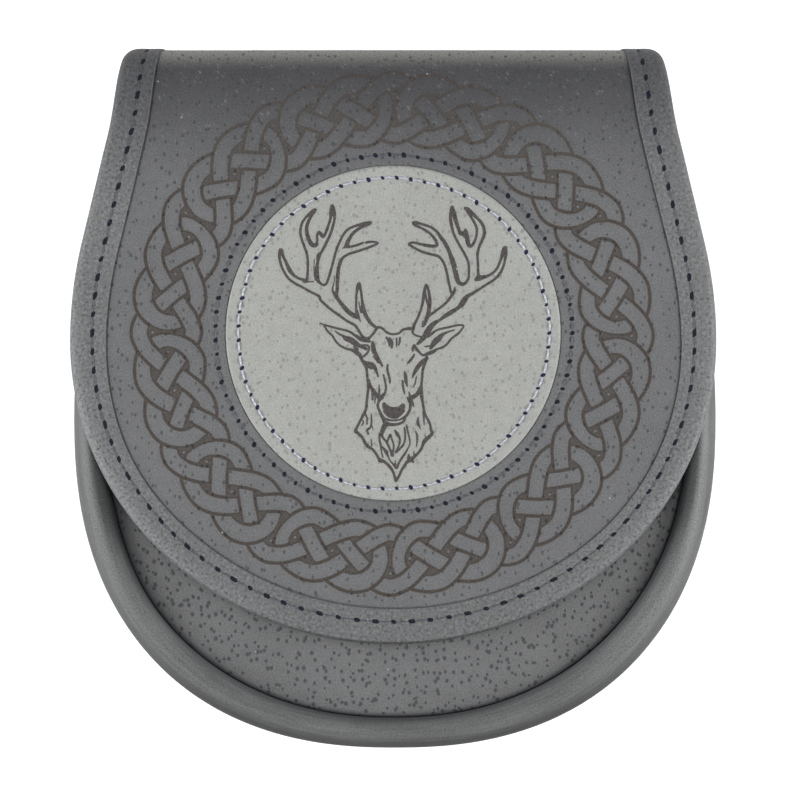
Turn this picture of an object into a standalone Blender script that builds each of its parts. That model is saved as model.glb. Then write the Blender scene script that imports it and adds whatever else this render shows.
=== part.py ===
"""A leather day sporran, lying on its back with the flap upwards.

The pouch is a flat back, a long gusset that rolls round the edge, and a domed front set inside the roll.
The flap is one sheet: sewn to the outside of the back, folded over the top and down over the front.
Lengths are in millimetres until a mesh is made. X is to the right, Y towards the fold, Z towards the viewer.
"""

import math

import bmesh
import bpy
import numpy as np

MM = 0.001
GAP = 0.3

# How it lies: on the belt loops and on the lower rim of the back, so the back leans by a few degrees.
LEAN = math.tan(math.radians(3.2))
BACK_THICK = 2.5
BACK_TOP = 85.0
BACK_CORNER = 8.0
BACK_BEVEL = 1.0
BACK_EDGE_SHARES = (0.35, 0.65)

# Outlines seen from the front. Each has its widest level (mid), the half-width there, how far the round end
# reaches below it, and the power of that end's superellipse (2 is an ellipse, more is squarer).
OUTLINES = {
    "flap": {"mid": 16.7, "half": 90.0, "drop": 84.4, "power": 2.0},
    "body": {"mid": -5.7, "half": 91.2, "drop": 93.5, "power": 2.33},
    "seam": {"mid": -5.7, "half": 82.2, "drop": 82.9, "power": 2.18},
}
SIDE_SLOPE = 0.24
STRAIGHT_FROM = 44.5

# Front wall: a dome that falls to the seam with the gusset, and flattens a little towards the mouth.
FRONT_THICK = 2.0
SEAM_LEVEL = 23.7
DOME_RISE = 5.0
DOME_POWER = 4.0
MOUTH = 74.0
MOUTH_CORNER = 6.0
MOUTH_FROM = 30.0
MOUTH_FLATTENS = 0.25
DOME_RINGS = (0.30, 0.55, 0.75, 0.88, 0.96, 1.0)
DOME_CENTRE = 5.0

# Gusset: its outer surface across one section, from the front seam over the roll to the flange on the back.
# across: share of the way from the seam to the rim. level: share of the way from the back to the seam.
GUSSET_THICK = 1.8
GUSSET_TOP = 72.0
RIM_SHOWS = 1.4
GUSSET_SECTION = (
    {"across": 0.04, "level": 1.00, "rise": -4.0},
    {"across": 0.04, "level": 1.00, "rise": -0.8},
    {"across": 0.12, "level": 1.00, "rise": 1.8},
    {"across": 0.30, "level": 1.00, "rise": 3.8},
    {"across": 0.52, "level": 1.00, "rise": 4.4},
    {"across": 0.74, "level": 1.00, "rise": 3.0},
    {"across": 0.92, "level": 1.00, "rise": -0.4},
    {"across": 1.00, "level": 0.80, "rise": 0.0},
    {"across": 1.00, "level": 0.50, "rise": 0.0},
    {"across": 0.97, "level": 0.22, "rise": 0.0},
    {"across": 0.90, "level": 0.05, "rise": 0.0},
    {"across": 0.80, "level": 0.00, "rise": 0.0},
    {"across": -0.05, "level": 0.00, "rise": 0.0},
)

# Flap: its middle surface runs level, over an upper and a lower quarter of an ellipse, and down the back.
FLAP_LEVEL = 31.9
FLAP_HALF_THICK = 1.5
FOLD_START = 66.0
FOLD_END_Y = 97.3
FOLD_MID_LEVEL = 18.0
TAIL_START = 84.0
TAIL_LENGTH = 19.0
FOLD_SAMPLES = 200
SLOPE_STEP = 0.05
# Round its two upper corners the flap's edge eases inwards by this much over this length of sheet. The line
# where the binding ends does so this much further along.
CORNER_IN = 9.0
CORNER_LENGTH = 17.0
CORNER_DELAY = 4.8
TIP_ANGLE = 87.0
FLAP_STEPS = {"lower": 10, "upper": 14, "side": 5, "tip": 14}
TONGUE_HALF_THICK = 0.6
TONGUE_EDGE = 1.35
STEP_EDGE = 10.35

# Binding: a strip folded round the flap's edge. in_by: from the flap's edge. out_by: from its middle surface.
BINDING_SECTION = (
    {"in_by": 10.0, "out_by": 1.9},
    {"in_by": 1.3, "out_by": 1.9},
    {"in_by": 0.4, "out_by": 1.5},
    {"in_by": 0.0, "out_by": 0.7},
    {"in_by": 0.0, "out_by": -0.7},
    {"in_by": 0.4, "out_by": -1.5},
    {"in_by": 1.3, "out_by": -1.9},
    {"in_by": 10.0, "out_by": -1.9},
    {"in_by": 10.0, "out_by": -0.9},
    {"in_by": 1.0, "out_by": -0.9},
    {"in_by": 1.0, "out_by": 0.9},
    {"in_by": 10.0, "out_by": 0.9},
)
BINDING_OUT = 1.9

ROUNDEL_Y = 18.9
ROUNDEL_RADIUS = 46.6
ROUNDEL_THICK = 1.2
ROUNDEL_SEAT = 1.4
ROUNDEL_BEVEL = 0.3

STUD_Y = -38.0
STUD_RADIUS = 7.0
STUD_THICK = 1.3
STUD_SKIPS = 4

LOOP_X = 45.0
LOOP_WIDE = 24.0
LOOP_THICK = 1.8
# Along one loop: its lower end, where it leaves the back, where its level part starts and stops, where it
# meets the back again, and its upper end.
LOOP_STOPS = (13.0, 21.0, 29.0, 47.0, 55.0, 63.0)
LOOP_BEND_STEPS = 5

SIDE_STEPS = 9
ROUND_STEPS = 18
CORNER_STEPS = 4
CIRCLE_STEPS = 96
SMOOTH_BELOW = math.radians(40)


def back_outside(y):
    """Level of the back's outer face, which leans on the lower rim."""
    contact = OUTLINES["body"]["mid"] - OUTLINES["body"]["drop"] + BACK_BEVEL
    return (y - contact) * LEAN


def back_inside(y):
    return back_outside(y) + BACK_THICK


def half_width(name, y):
    """Half the outline's width at y: a superellipse below mid; above it a parabola, then a straight side."""
    line = OUTLINES[name]
    y = np.asarray(y, float)
    below = np.clip((line["mid"] - y) / line["drop"], 0.0, 1.0)
    lower = line["half"] * (1.0 - below ** line["power"]) ** (1.0 / line["power"])
    reach = STRAIGHT_FROM - line["mid"]
    curve = np.clip(y - line["mid"], 0.0, reach) ** 2 * SIDE_SLOPE / (2.0 * reach)
    straight = np.clip(y - STRAIGHT_FROM, 0.0, None) * SIDE_SLOPE
    return np.where(y < line["mid"], lower, line["half"] - curve - straight)


def right_side(name, top, corner):
    """Points down the right side of an outline, from its top to its lowest point. Corner 0 is a square one."""
    line = OUTLINES[name]
    upper = np.linspace(top - corner, line["mid"], SIDE_STEPS + 1)
    x = half_width(name, upper)
    if corner:
        turn = np.linspace(math.pi / 2, 0.0, CORNER_STEPS + 1)[:-1]
        rounded = top - corner + corner * np.sin(turn)
        x = np.append(half_width(name, rounded) - corner * (1.0 - np.cos(turn)), x)
        upper = np.append(rounded, upper)
    angle = np.linspace(0.0, math.pi / 2, ROUND_STEPS + 1)[1:]
    power = 2.0 / line["power"]
    round_x = line["half"] * np.abs(np.cos(angle)) ** power
    round_x[-1] = 0.0
    round_y = line["mid"] - line["drop"] * np.sin(angle) ** power
    return np.column_stack([np.append(x, round_x), np.append(upper, round_y)])


def both_sides(right):
    """The right side's points and their mirror images, as one line from the upper right to the upper left."""
    left = right[-2::-1] * (-1.0, 1.0)
    return np.vstack([right, left])


def inset(points, by, closed=True):
    """The line moved to its inner side, which is on the right of its direction, by a distance."""
    if closed:
        along = np.roll(points, -1, axis=0) - np.roll(points, 1, axis=0)
    else:
        along = np.gradient(points, axis=0)
    along /= np.linalg.norm(along, axis=1)[:, None]
    return points + by * np.column_stack([along[:, 1], -along[:, 0]])


def raised(points, level):
    """Points in plan given their height, which is one number or one for each point."""
    return np.column_stack([points, np.broadcast_to(level, len(points))])


def loft_faces(rings, around, caps=True):
    """Quads between successive rings of the same number of points, and a face over each end."""
    faces = []
    for ring in range(rings - 1):
        for i in range(around):
            j = (i + 1) % around
            low, high = ring * around, (ring + 1) * around
            faces.append((low + i, low + j, high + j, high + i))
    if caps:
        faces.append(tuple(range(around)))
        faces.append(tuple((rings - 1) * around + i for i in range(around)))
    return faces


def solid(name, points, faces, material):
    """One closed body, with its faces turned outwards, as an object of its own."""
    mesh = bpy.data.meshes.new(name)
    mesh.from_pydata((np.asarray(points, float) * MM).tolist(), [], faces)
    shape = bmesh.new()
    shape.from_mesh(mesh)
    bmesh.ops.recalc_face_normals(shape, faces=shape.faces[:])
    shape.to_mesh(mesh)
    shape.free()
    mesh.shade_smooth()
    mesh.set_sharp_from_angle(angle=SMOOTH_BELOW)
    mesh.materials.append(material)
    made = bpy.data.objects.new(name, mesh)
    bpy.context.scene.collection.objects.link(made)
    return made


def loft(name, rings, material):
    rings = np.asarray(rings, float)
    faces = loft_faces(len(rings), rings.shape[1])
    return solid(name, rings.reshape(-1, 3), faces, material)


def leather(name, colour, roughness):
    made = bpy.data.materials.new(name)
    made.use_nodes = True
    surface = made.node_tree.nodes["Principled BSDF"]
    surface.inputs["Base Color"].default_value = (*colour, 1.0)
    surface.inputs["Roughness"].default_value = roughness
    surface.inputs["Metallic"].default_value = 0.0
    return made


def steel(name):
    made = leather(name, (0.55, 0.55, 0.56), 0.35)
    made.node_tree.nodes["Principled BSDF"].inputs["Metallic"].default_value = 1.0
    return made


def circle(radius, y):
    turn = np.linspace(0.0, 2.0 * math.pi, CIRCLE_STEPS, endpoint=False)
    return np.column_stack([radius * np.cos(turn), y + radius * np.sin(turn)])


def make_back(material):
    """The back: a flat sheet in the leaning plane, with both edges of its rim bevelled."""
    rim = both_sides(right_side("body", BACK_TOP, BACK_CORNER))
    inner = inset(rim, BACK_BEVEL)
    outside_rim = back_outside(rim[:, 1])
    lower = raised(inner, back_outside(inner[:, 1]))
    upper = raised(inner, back_inside(inner[:, 1]))
    edges = [raised(rim, outside_rim + share * BACK_THICK) for share in BACK_EDGE_SHARES]
    return loft("back_panel", [lower, *edges, upper], material)


def gusset_stations():
    """Matching points on the front seam and just inside the rim, from the right mouth end to the left one."""
    seam = both_sides(right_side("seam", GUSSET_TOP, 0.0))
    rim = both_sides(right_side("body", GUSSET_TOP, 0.0))
    return seam, inset(rim, RIM_SHOWS, closed=False)


def gusset_ring(seam, rim):
    """The closed section at one station: the outer surface, and the inner one a thickness inside it."""
    length = np.linalg.norm(rim - seam)
    out = (rim - seam) / length
    across = np.array([row["across"] for row in GUSSET_SECTION]) * length
    floor = back_inside(seam[1] + across * out[1]) + GAP
    share = np.array([row["level"] for row in GUSSET_SECTION])
    rise = np.array([row["rise"] for row in GUSSET_SECTION])
    outer = np.column_stack([across, floor + share * (SEAM_LEVEL - floor) + rise])
    inner = inset(outer, GUSSET_THICK, closed=False)
    inner[0, 1] = outer[0, 1]
    inner[-1, 0] = outer[-1, 0]
    section = np.vstack([outer, inner[::-1]])
    plan = seam + section[:, :1] * out
    return np.column_stack([plan, section[:, 1]])


def make_gusset(material):
    seam, rim = gusset_stations()
    rim[0, 1] = seam[0, 1]
    rim[-1, 1] = seam[-1, 1]
    return loft("gusset", [gusset_ring(s, r) for s, r in zip(seam, rim)], material)


def dome_level(points):
    """Height of the front's outer surface: full in the middle, at the seam's level along the seam."""
    x, y = np.abs(points[:, 0]), points[:, 1]
    line = OUTLINES["seam"]
    low = np.clip((line["mid"] - y) / line["drop"], 0.0, None)
    share = ((x / line["half"]) ** line["power"] + low ** line["power"]) ** (1.0 / line["power"])
    above = y > line["mid"]
    share[above] = x[above] / half_width("seam", y[above])
    near_mouth = np.clip((y - MOUTH_FROM) / (MOUTH - MOUTH_FROM), 0.0, 1.0)
    rise = DOME_RISE * (1.0 - MOUTH_FLATTENS * near_mouth)
    return SEAM_LEVEL + rise * (1.0 - np.clip(share, 0.0, 1.0) ** DOME_POWER)


def make_front(material):
    """The front: rings of points spread from one centre, outwards on top and back inwards underneath."""
    edge = both_sides(right_side("seam", MOUTH, MOUTH_CORNER))
    centre = np.array([0.0, DOME_CENTRE])
    plans = [centre + share * (edge - centre) for share in DOME_RINGS]
    upper = [raised(plan, dome_level(plan)) for plan in plans]
    lower = [ring - (0.0, 0.0, FRONT_THICK) for ring in reversed(upper)]
    return loft("front_panel", upper + lower, material)


def fold_line():
    """The flap's middle surface from the side: travel along the fold, y and z. Travel starts equal to y."""
    turn = np.linspace(0.0, math.pi / 2, FOLD_SAMPLES)
    upper_y = FOLD_START + (FOLD_END_Y - FOLD_START) * np.sin(turn)
    upper_z = FOLD_MID_LEVEL + (FLAP_LEVEL - FOLD_MID_LEVEL) * np.cos(turn)
    tail_under_back = BINDING_OUT + GAP
    tail_level = back_outside(TAIL_START) - tail_under_back
    lower_y = TAIL_START + (FOLD_END_Y - TAIL_START) * np.cos(turn)
    lower_z = tail_level + (FOLD_MID_LEVEL - tail_level) * (1.0 - np.sin(turn))
    tail_end = TAIL_START - TAIL_LENGTH
    y = np.concatenate([upper_y, lower_y[1:], [tail_end]])
    z = np.concatenate([upper_z, lower_z[1:], [back_outside(tail_end) - tail_under_back]])
    step = np.hypot(np.diff(y), np.diff(z))
    travel = FOLD_START + np.concatenate([[0.0], np.cumsum(step)])
    return travel, y, z


FOLD = fold_line()
TRAVEL_TOP = FOLD[0][FOLD_SAMPLES - 1]
TRAVEL_END = FOLD[0][-1]
TRAVEL_TAIL = FOLD[0][-2]


def fold_point(travel):
    """(y, z) of the flap's middle surface at a travel. Before the fold the sheet is level."""
    y = np.where(travel < FOLD_START, travel, np.interp(travel, FOLD[0], FOLD[1]))
    return np.column_stack([y, np.interp(travel, FOLD[0], FOLD[2])])


def seen_from_front(travel):
    """The y at which the front shows a travel. Past the top of the fold it stays at the top's."""
    upper = slice(0, FOLD_SAMPLES)
    return np.where(travel < FOLD_START, travel, np.interp(travel, FOLD[0][upper], FOLD[1][upper]))


def on_flap(flat, out_by):
    """A point of the flap laid flat (x, travel) carried onto the folded sheet, out_by its middle surface."""
    middle = fold_point(flat[:, 1])
    slope = fold_point(flat[:, 1] + SLOPE_STEP) - fold_point(flat[:, 1] - SLOPE_STEP)
    slope /= np.linalg.norm(slope, axis=1)[:, None]
    outwards = np.column_stack([-slope[:, 1], slope[:, 0]])
    return np.column_stack([flat[:, 0], middle + out_by * outwards])


def flap_edge():
    """The flap's free edge laid flat, down its right side from the tail's end to the tip."""
    line = OUTLINES["flap"]
    tail = np.array([TRAVEL_END, 0.5 * (TRAVEL_END + TRAVEL_TAIL)])
    lower = np.linspace(TRAVEL_TAIL, TRAVEL_TOP, FLAP_STEPS["lower"] + 1)[:-1]
    upper = np.linspace(TRAVEL_TOP, FOLD_START, FLAP_STEPS["upper"] + 1)
    side = np.linspace(FOLD_START, line["mid"], FLAP_STEPS["side"] + 1)[1:]
    travel = np.concatenate([tail, lower, upper, side])
    angle = np.radians(np.linspace(0.0, TIP_ANGLE, FLAP_STEPS["tip"] + 1)[1:])
    x = np.append(half_width("flap", seen_from_front(travel)), line["half"] * np.cos(angle))
    return np.column_stack([x, np.append(travel, line["mid"] - line["drop"] * np.sin(angle))])


def edge_inset(by):
    """The free edge moved inwards over the sheet, eased in round the upper corners."""
    right = flap_edge()
    whole = np.vstack([right, right[::-1] * (-1.0, 1.0)])
    moved = inset(whole, by, closed=False)[: len(right)]
    moved[0, 1] = TRAVEL_END
    past_corner = moved[:, 1] - TRAVEL_TOP - CORNER_DELAY * by / STEP_EDGE
    share = np.clip(0.5 + past_corner / CORNER_LENGTH, 0.0, 1.0)
    moved[:, 0] -= CORNER_IN * share**2 * (3.0 - 2.0 * share)
    return moved


def make_flap(material):
    """The flap: full thickness inside the binding's inner edge, and a thinner tongue inside the binding."""
    tongue, step = edge_inset(TONGUE_EDGE), edge_inset(STEP_EDGE)
    mirror = np.array([-1.0, 1.0])
    columns = (
        (tongue, TONGUE_HALF_THICK),
        (step, TONGUE_HALF_THICK),
        (step, FLAP_HALF_THICK),
        (step * mirror, FLAP_HALF_THICK),
        (step * mirror, TONGUE_HALF_THICK),
        (tongue * mirror, TONGUE_HALF_THICK),
    )
    front = [on_flap(line, out) for line, out in columns]
    back = [on_flap(line, -out) for line, out in reversed(columns)]
    rings = np.stack(front + back, axis=1)
    around = rings.shape[1]
    faces = loft_faces(len(rings), around, caps=False)
    faces.append(tuple(range(around)))
    tip = (len(rings) - 1) * around
    across_tip = ((0, 1, 4, 5), (1, 2, 3, 4), (11, 10, 7, 6), (10, 9, 8, 7), (0, 5, 6, 11))
    faces += [tuple(tip + i for i in face) for face in across_tip]
    made = solid("flap", rings.reshape(-1, 3), faces, material)
    for face in made.data.polygons:
        face.use_smooth = face.center.y > FOLD_START * MM
    seat = circle(ROUNDEL_RADIUS + GAP, ROUNDEL_Y)
    floor = FLAP_LEVEL + FLAP_HALF_THICK - ROUNDEL_SEAT
    above = FLAP_LEVEL + 2.0 * FLAP_HALF_THICK
    cutter = loft("roundel_seat_cutter", [raised(seat, floor), raised(seat, above)], material)
    cutter.data.shade_flat()
    cutter.hide_render = True
    cutter.display_type = "WIRE"
    cut = made.modifiers.new("roundel_seat", "BOOLEAN")
    cut.operation = "DIFFERENCE"
    cut.solver = "EXACT"
    cut.object = cutter
    return made


def make_binding(material):
    """The binding: its section carried along the flap's free edge, over the fold on both sides."""
    rows = [(row["in_by"], row["out_by"]) for row in BINDING_SECTION]
    mirror = np.array([-1.0, 1.0])
    right = [on_flap(edge_inset(in_by), out_by) for in_by, out_by in rows]
    left = [on_flap((edge_inset(in_by) * mirror)[::-1], out_by) for in_by, out_by in rows]
    rings = np.concatenate([np.stack(right, axis=1), np.stack(left, axis=1)])
    return loft("flap_binding", rings, material)


def make_roundel(material):
    top = FLAP_LEVEL + FLAP_HALF_THICK - ROUNDEL_SEAT + GAP + ROUNDEL_THICK
    rings = [
        raised(circle(ROUNDEL_RADIUS, ROUNDEL_Y), top - ROUNDEL_THICK),
        raised(circle(ROUNDEL_RADIUS, ROUNDEL_Y), top - ROUNDEL_BEVEL),
        raised(circle(ROUNDEL_RADIUS - ROUNDEL_BEVEL, ROUNDEL_Y), top),
    ]
    return loft("roundel", rings, material)


def make_stud(material):
    """The hidden fastener: a plain disc just under the flap."""
    top = FLAP_LEVEL - FLAP_HALF_THICK - GAP
    plan = circle(STUD_RADIUS, STUD_Y)[::STUD_SKIPS]
    return loft("flap_stud", [raised(plan, top - STUD_THICK), raised(plan, top)], material)


def loop_line():
    """A belt loop's middle line from the side: along the back, down to the level part, and up again."""
    half = 0.5 * LOOP_THICK
    share = np.linspace(0.0, 1.0, LOOP_BEND_STEPS + 2)
    ease = 0.5 - 0.5 * np.cos(math.pi * share)
    start, leaves, level, rises, meets, end = LOOP_STOPS
    sewn = [back_outside(y) - GAP - half for y in (start, leaves, meets, end)]
    y = np.concatenate([[start], leaves + share * (level - leaves), rises + share * (meets - rises), [end]])
    down = sewn[1] + ease * (half - sewn[1])
    up = half + ease * (sewn[2] - half)
    return np.column_stack([y, np.concatenate([[sewn[0]], down, up, [sewn[3]]])])


def make_strap_loop(name, x, material):
    line = loop_line()
    half = 0.5 * LOOP_THICK
    section = np.vstack([inset(line, half, closed=False), inset(line, -half, closed=False)[::-1]])
    sides = []
    for side in (-0.5, 0.5):
        sides.append(np.column_stack([np.full(len(section), x + side * LOOP_WIDE), section]))
    return loft(name, sides, material)


def main():
    for old in list(bpy.data.objects):
        bpy.data.objects.remove(old)
    dark = leather("pored_leather", (0.135, 0.138, 0.143), 0.6)
    smooth = leather("smooth_leather", (0.150, 0.155, 0.160), 0.5)
    pale = leather("pale_leather", (0.40, 0.41, 0.39), 0.6)
    make_back(smooth)
    make_gusset(smooth)
    make_front(dark)
    make_flap(dark)
    make_binding(smooth)
    make_roundel(pale)
    make_stud(steel("stud_steel"))
    make_strap_loop("strap_loop_left", -LOOP_X, smooth)
    make_strap_loop("strap_loop_right", LOOP_X, smooth)


main()
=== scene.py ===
"""The looks of a leather day sporran that lies on its back: its surfaces, stitching, engraving and light.

Every surface is worked out as whole arrays from named sizes and short tables. Lengths are in millimetres
until a mesh is made. X is to the right, Y towards the fold, Z towards the viewer. A place on the flap is
given as on the sheet laid flat, (x, travel): travel equals y down the front, and goes on over the fold.
"""

import math

import bpy
import numpy as np
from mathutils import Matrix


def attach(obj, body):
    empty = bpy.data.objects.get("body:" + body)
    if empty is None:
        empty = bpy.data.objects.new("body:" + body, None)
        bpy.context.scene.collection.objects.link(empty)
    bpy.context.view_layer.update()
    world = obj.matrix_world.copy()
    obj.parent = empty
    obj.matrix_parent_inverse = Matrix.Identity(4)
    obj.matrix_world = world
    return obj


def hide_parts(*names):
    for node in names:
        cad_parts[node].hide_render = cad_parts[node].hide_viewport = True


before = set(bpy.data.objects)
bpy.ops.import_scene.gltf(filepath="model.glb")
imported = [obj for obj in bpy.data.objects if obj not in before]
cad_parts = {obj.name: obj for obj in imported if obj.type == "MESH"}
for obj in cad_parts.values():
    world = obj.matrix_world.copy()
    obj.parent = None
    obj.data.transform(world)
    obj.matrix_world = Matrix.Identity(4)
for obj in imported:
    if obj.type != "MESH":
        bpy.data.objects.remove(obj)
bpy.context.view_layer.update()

MM = 0.001
GAP = 0.3
# Pieces that wear one leather lie apart on its sheet: where each begins, along it or across it.
SHEET_FROM = {"binding": 300.0, "back": 400.0, "gusset": 500.0, "loops": 800.0}
LEAN = math.tan(math.radians(3.2))
BACK_THICK = 2.5
BACK_BEVEL = 1.0
BACK_TOP = 85.0
BACK_CORNER = 8.0

# Outlines from the front, each a superellipse below its widest level (mid) and a curve into a slope above it.
# A whole outline may lie aside, and its left side may come in, most of all at LEFT_IN_Y.
OUTLINES = {
    "flap": {"mid": 16.7, "half": 90.0, "drop": 84.4, "power": 2.0, "aside": 0.0, "left_in": 0.0},
    "body": {"mid": -5.7, "half": 91.2, "drop": 93.2, "power": 2.33, "aside": 0.45, "left_in": 0.0},
    "seam": {"mid": -5.7, "half": 82.2, "drop": 82.9, "power": 2.18, "aside": 0.0, "left_in": 1.7},
}
LEFT_IN_Y = -31.0
LEFT_IN_REACH = 19.0
SIDE_SLOPE = 0.24
STRAIGHT_FROM = 44.5
CORNER_STEPS = 10
UPPER_STEPS = 70
ROUND_STEPS = 130
TOP_STEPS = 60

FRONT_THICK = 2.0
SEAM_LEVEL = 23.7
DOME_RISE = 5.0
DOME_POWER = 4.0
DOME_CENTRE = 5.0
MOUTH = 74.0
MOUTH_CORNER = 6.0
MOUTH_FROM = 30.0
MOUTH_FLATTENS = 0.25
EDGE_TURN = 1.6
EDGE_DROP = 1.0
# The painted shade in the seam on the front: how wide it is, how much wider at the left, and from which
# height up.
SEAM_DARK = 0.85
SEAM_DARK_LEFT = 2.2
LEFT_DARK_FROM = -60.0
LEFT_DARK_OVER = 36.0
# Rings of the front and the back, and where the front's grow denser, as a share of the way out.
FRONT_RINGS = {"inner": 42, "outer": 26, "under": 24}
FRONT_DENSER_FROM = 0.9
BACK_RINGS = 22
# A sheet's smallest ring, as a share of the way out.
INNERMOST = {"front": 0.02, "flap": 0.03, "back": 0.03}

GUSSET_THICK = 1.8
GUSSET_TOP = 72.0
RIM_SHOWS = 1.4
# Rows: share of the way from seam to rim, share of the height from the back to the seam, and rise above that.
GUSSET_SECTION = (
    (0.04, 1.00, -4.0), (0.02, 1.00, -1.0), (0.03, 1.00, 0.2), (0.11, 1.00, 2.2), (0.25, 1.00, 3.6),
    (0.47, 1.00, 4.4), (0.71, 1.00, 3.4), (0.91, 1.00, 0.2), (1.00, 0.82, 0.0), (1.00, 0.50, 0.0),
    (0.97, 0.22, 0.0), (0.90, 0.05, 0.0), (0.80, 0.00, 0.0), (-0.05, 0.00, 0.0),
)
# The gusset's flanks begin this far from the middle, and are whole this much further out.
FLANK_FROM = 40.0
FLANK_OVER = 42.0

FLAP_LEVEL = 31.9
FLAP_HALF_THICK = 1.5
FOLD_START = 66.0
FOLD_END_Y = 97.3
FOLD_MID_LEVEL = 18.0
TAIL_START = 84.0
TAIL_LENGTH = 19.0
FOLD_SAMPLES = 200
TAIL_STEPS = 90
TAIL_APART = 0.03
# Points along the flap's edge: up the tail, round the fold's back and its front, down the face's upper
# part, and round its lower part.
EDGE_STEPS = {"tail": 15, "fold_back": 33, "fold_front": 49, "upper": 41, "round": 121}
SLOPE_STEP = 0.05
CORNER_IN = 7.0
CORNER_LENGTH = 17.0
CORNER_DELAY = 2.0
CORNER_LATER = 2.6
FOLD_WIDENS_LEFT = 1.6
FOLD_WIDENS_RIGHT = 1.4
FOLD_WIDENS_FROM = 74.0
FOLD_WIDENS_OVER = 22.0
# The fold's stretch and painted shade: where they begin, and how far on they are whole.
STRETCH_AND_SHADE_FROM = 50.0
STRETCH_AND_SHADE_OVER = 45.0
# The binding's inner edge wanders: share of the edge's length, how far along it reaches, and by how much.
EDGE_WANDERS = ((0.12, 0.05, 0.3), (0.345, 0.085, -1.3), (0.68, 0.05, -0.9), (0.84, 0.07, 0.45))
WANDERS_FROM = 3.0
TONGUE_HALF_THICK = 0.88
TONGUE_EDGE = 8.6
STEP_EDGE = 10.2
GROOVE_INNER = 10.03
GROOVE_FLOOR = 1.32
STEP_ROUND = 0.5
# The rounded corner above the step: distance in from it, and drop below the face.
STEP_ROUNDING = ((0.25, 0.05), (0.08, 0.16), (0.0, 0.36))
STEP_BEVEL = 0.3
FACE_RINGS = 63
UNDER_RINGS = 27
BINDING_OUT = 1.9
BINDING_MIDDLE = 5.0
# Half of the binding's section, from its inner edge on the face round to the middle of its fold:
# distance from the flap's edge, and distance out from the sheet's middle.
BINDING_HALF = (
    (10.0, 0.95), (10.0, 1.55), (9.88, 1.80), (9.6, 1.90), (8.8, 1.94), (7.4, 1.92), (6.7, 1.80),
    (6.3, 1.74), (5.9, 1.80), (5.2, 1.92), (3.5, 1.96), (2.1, 1.88), (1.1, 1.60), (0.45, 1.12),
    (0.1, 0.55), (0.0, 0.0),
)
# The inner U that takes hold of the flap's tongue, from the face side to the back.
BINDING_INNER = ((1.5, -0.95), (1.15, -0.7), (1.0, 0.0), (1.15, 0.7), (1.5, 0.95))
# Where the binding is lighter, partly rubbed by a hand and partly a painted highlight where side light
# catches its rounded edge: share of the edge's length, and how much. Then the shares of the length that
# such a place and the painted shade of the lowest place reach along.
BINDING_WEAR_AND_HIGHLIGHT = ((0.32, 0.55), (0.68, 1.0))
WEAR_AND_HIGHLIGHT_REACH = 0.085
LOWEST_REACH = 0.12
# Painted shade on the binding: how dark its outer edge is all along, how dark its face is at the lowest
# place, and how much weaker its painted shade over the fold is than the flap's.
SHADED_EDGE = 0.35
SHADED_FACE = 0.17
BINDING_FOLD_SHADE = 0.82

ROUNDEL_Y = 18.9
ROUNDEL_RADIUS = 46.6
ROUNDEL_TOP = 33.5
ROUNDEL_THICK = 1.2
ROUNDEL_RIM = 0.7
ROUNDEL_RIM_DROP = 0.35
CHANNEL_DEEP = 0.16
CHANNEL_REACH = 0.8
SEAT_OUT = 0.1
SEAT_GAP = 0.2
SEAT_WALL_GAP = 0.03
SEAT_RADII = (20.0, 44.0)
SEAT_LEDGE = 1.12
# The flap's face round the seat: distance out from the seat's edge, and distance out from the sheet's
# middle. It rises from the ledge, and dips under the row of stitches.
SEAT_PROFILE = (
    (0.0, SEAT_LEDGE), (0.12, 1.38), (0.35, 1.48), (0.8, 1.5), (1.6, 1.5), (2.3, 1.40), (2.8, 1.36),
    (3.3, 1.40), (4.2, 1.5),
)

LOOP_X = 45.0
LOOP_WIDE = 24.0
LOOP_THICK = 1.8
# A loop's line from below: its lower end, where it leaves the back, where its level part begins and ends,
# where it meets the back again, and its upper end.
LOOP_STOPS = (13.0, 21.0, 29.0, 47.0, 55.0, 63.0)

# The back's rounded rim: distance in from the outline, and height above the outer face.
BACK_RIM = ((1.6, 0.0), (1.0, 0.06), (0.45, 0.30), (0.12, 0.75), (0.0, 1.25), (0.12, 1.75), (0.45, 2.2),
            (1.0, 2.44), (1.6, 2.5))


# Shapes shared by all pieces -------------------------------------------------------------------------------

def back_outside(y):
    """Level of the back's outer face: a plane that rests on the lower rim and leans by a few degrees."""
    contact = OUTLINES["body"]["mid"] - OUTLINES["body"]["drop"] + BACK_BEVEL
    return (y - contact) * LEAN


def half_width(name, y):
    """Half an outline's width: a superellipse below mid; above it a parabola and then a straight slope."""
    line = OUTLINES[name]
    y = np.asarray(y, float)
    below = np.clip((line["mid"] - y) / line["drop"], 0.0, 1.0)
    lower = line["half"] * (1.0 - below ** line["power"]) ** (1.0 / line["power"])
    reach = STRAIGHT_FROM - line["mid"]
    curve = np.clip(y - line["mid"], 0.0, reach) ** 2 * SIDE_SLOPE / (2.0 * reach)
    straight = np.clip(y - STRAIGHT_FROM, 0.0, None) * SIDE_SLOPE
    return np.where(y < line["mid"], lower, line["half"] - curve - straight)


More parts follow.
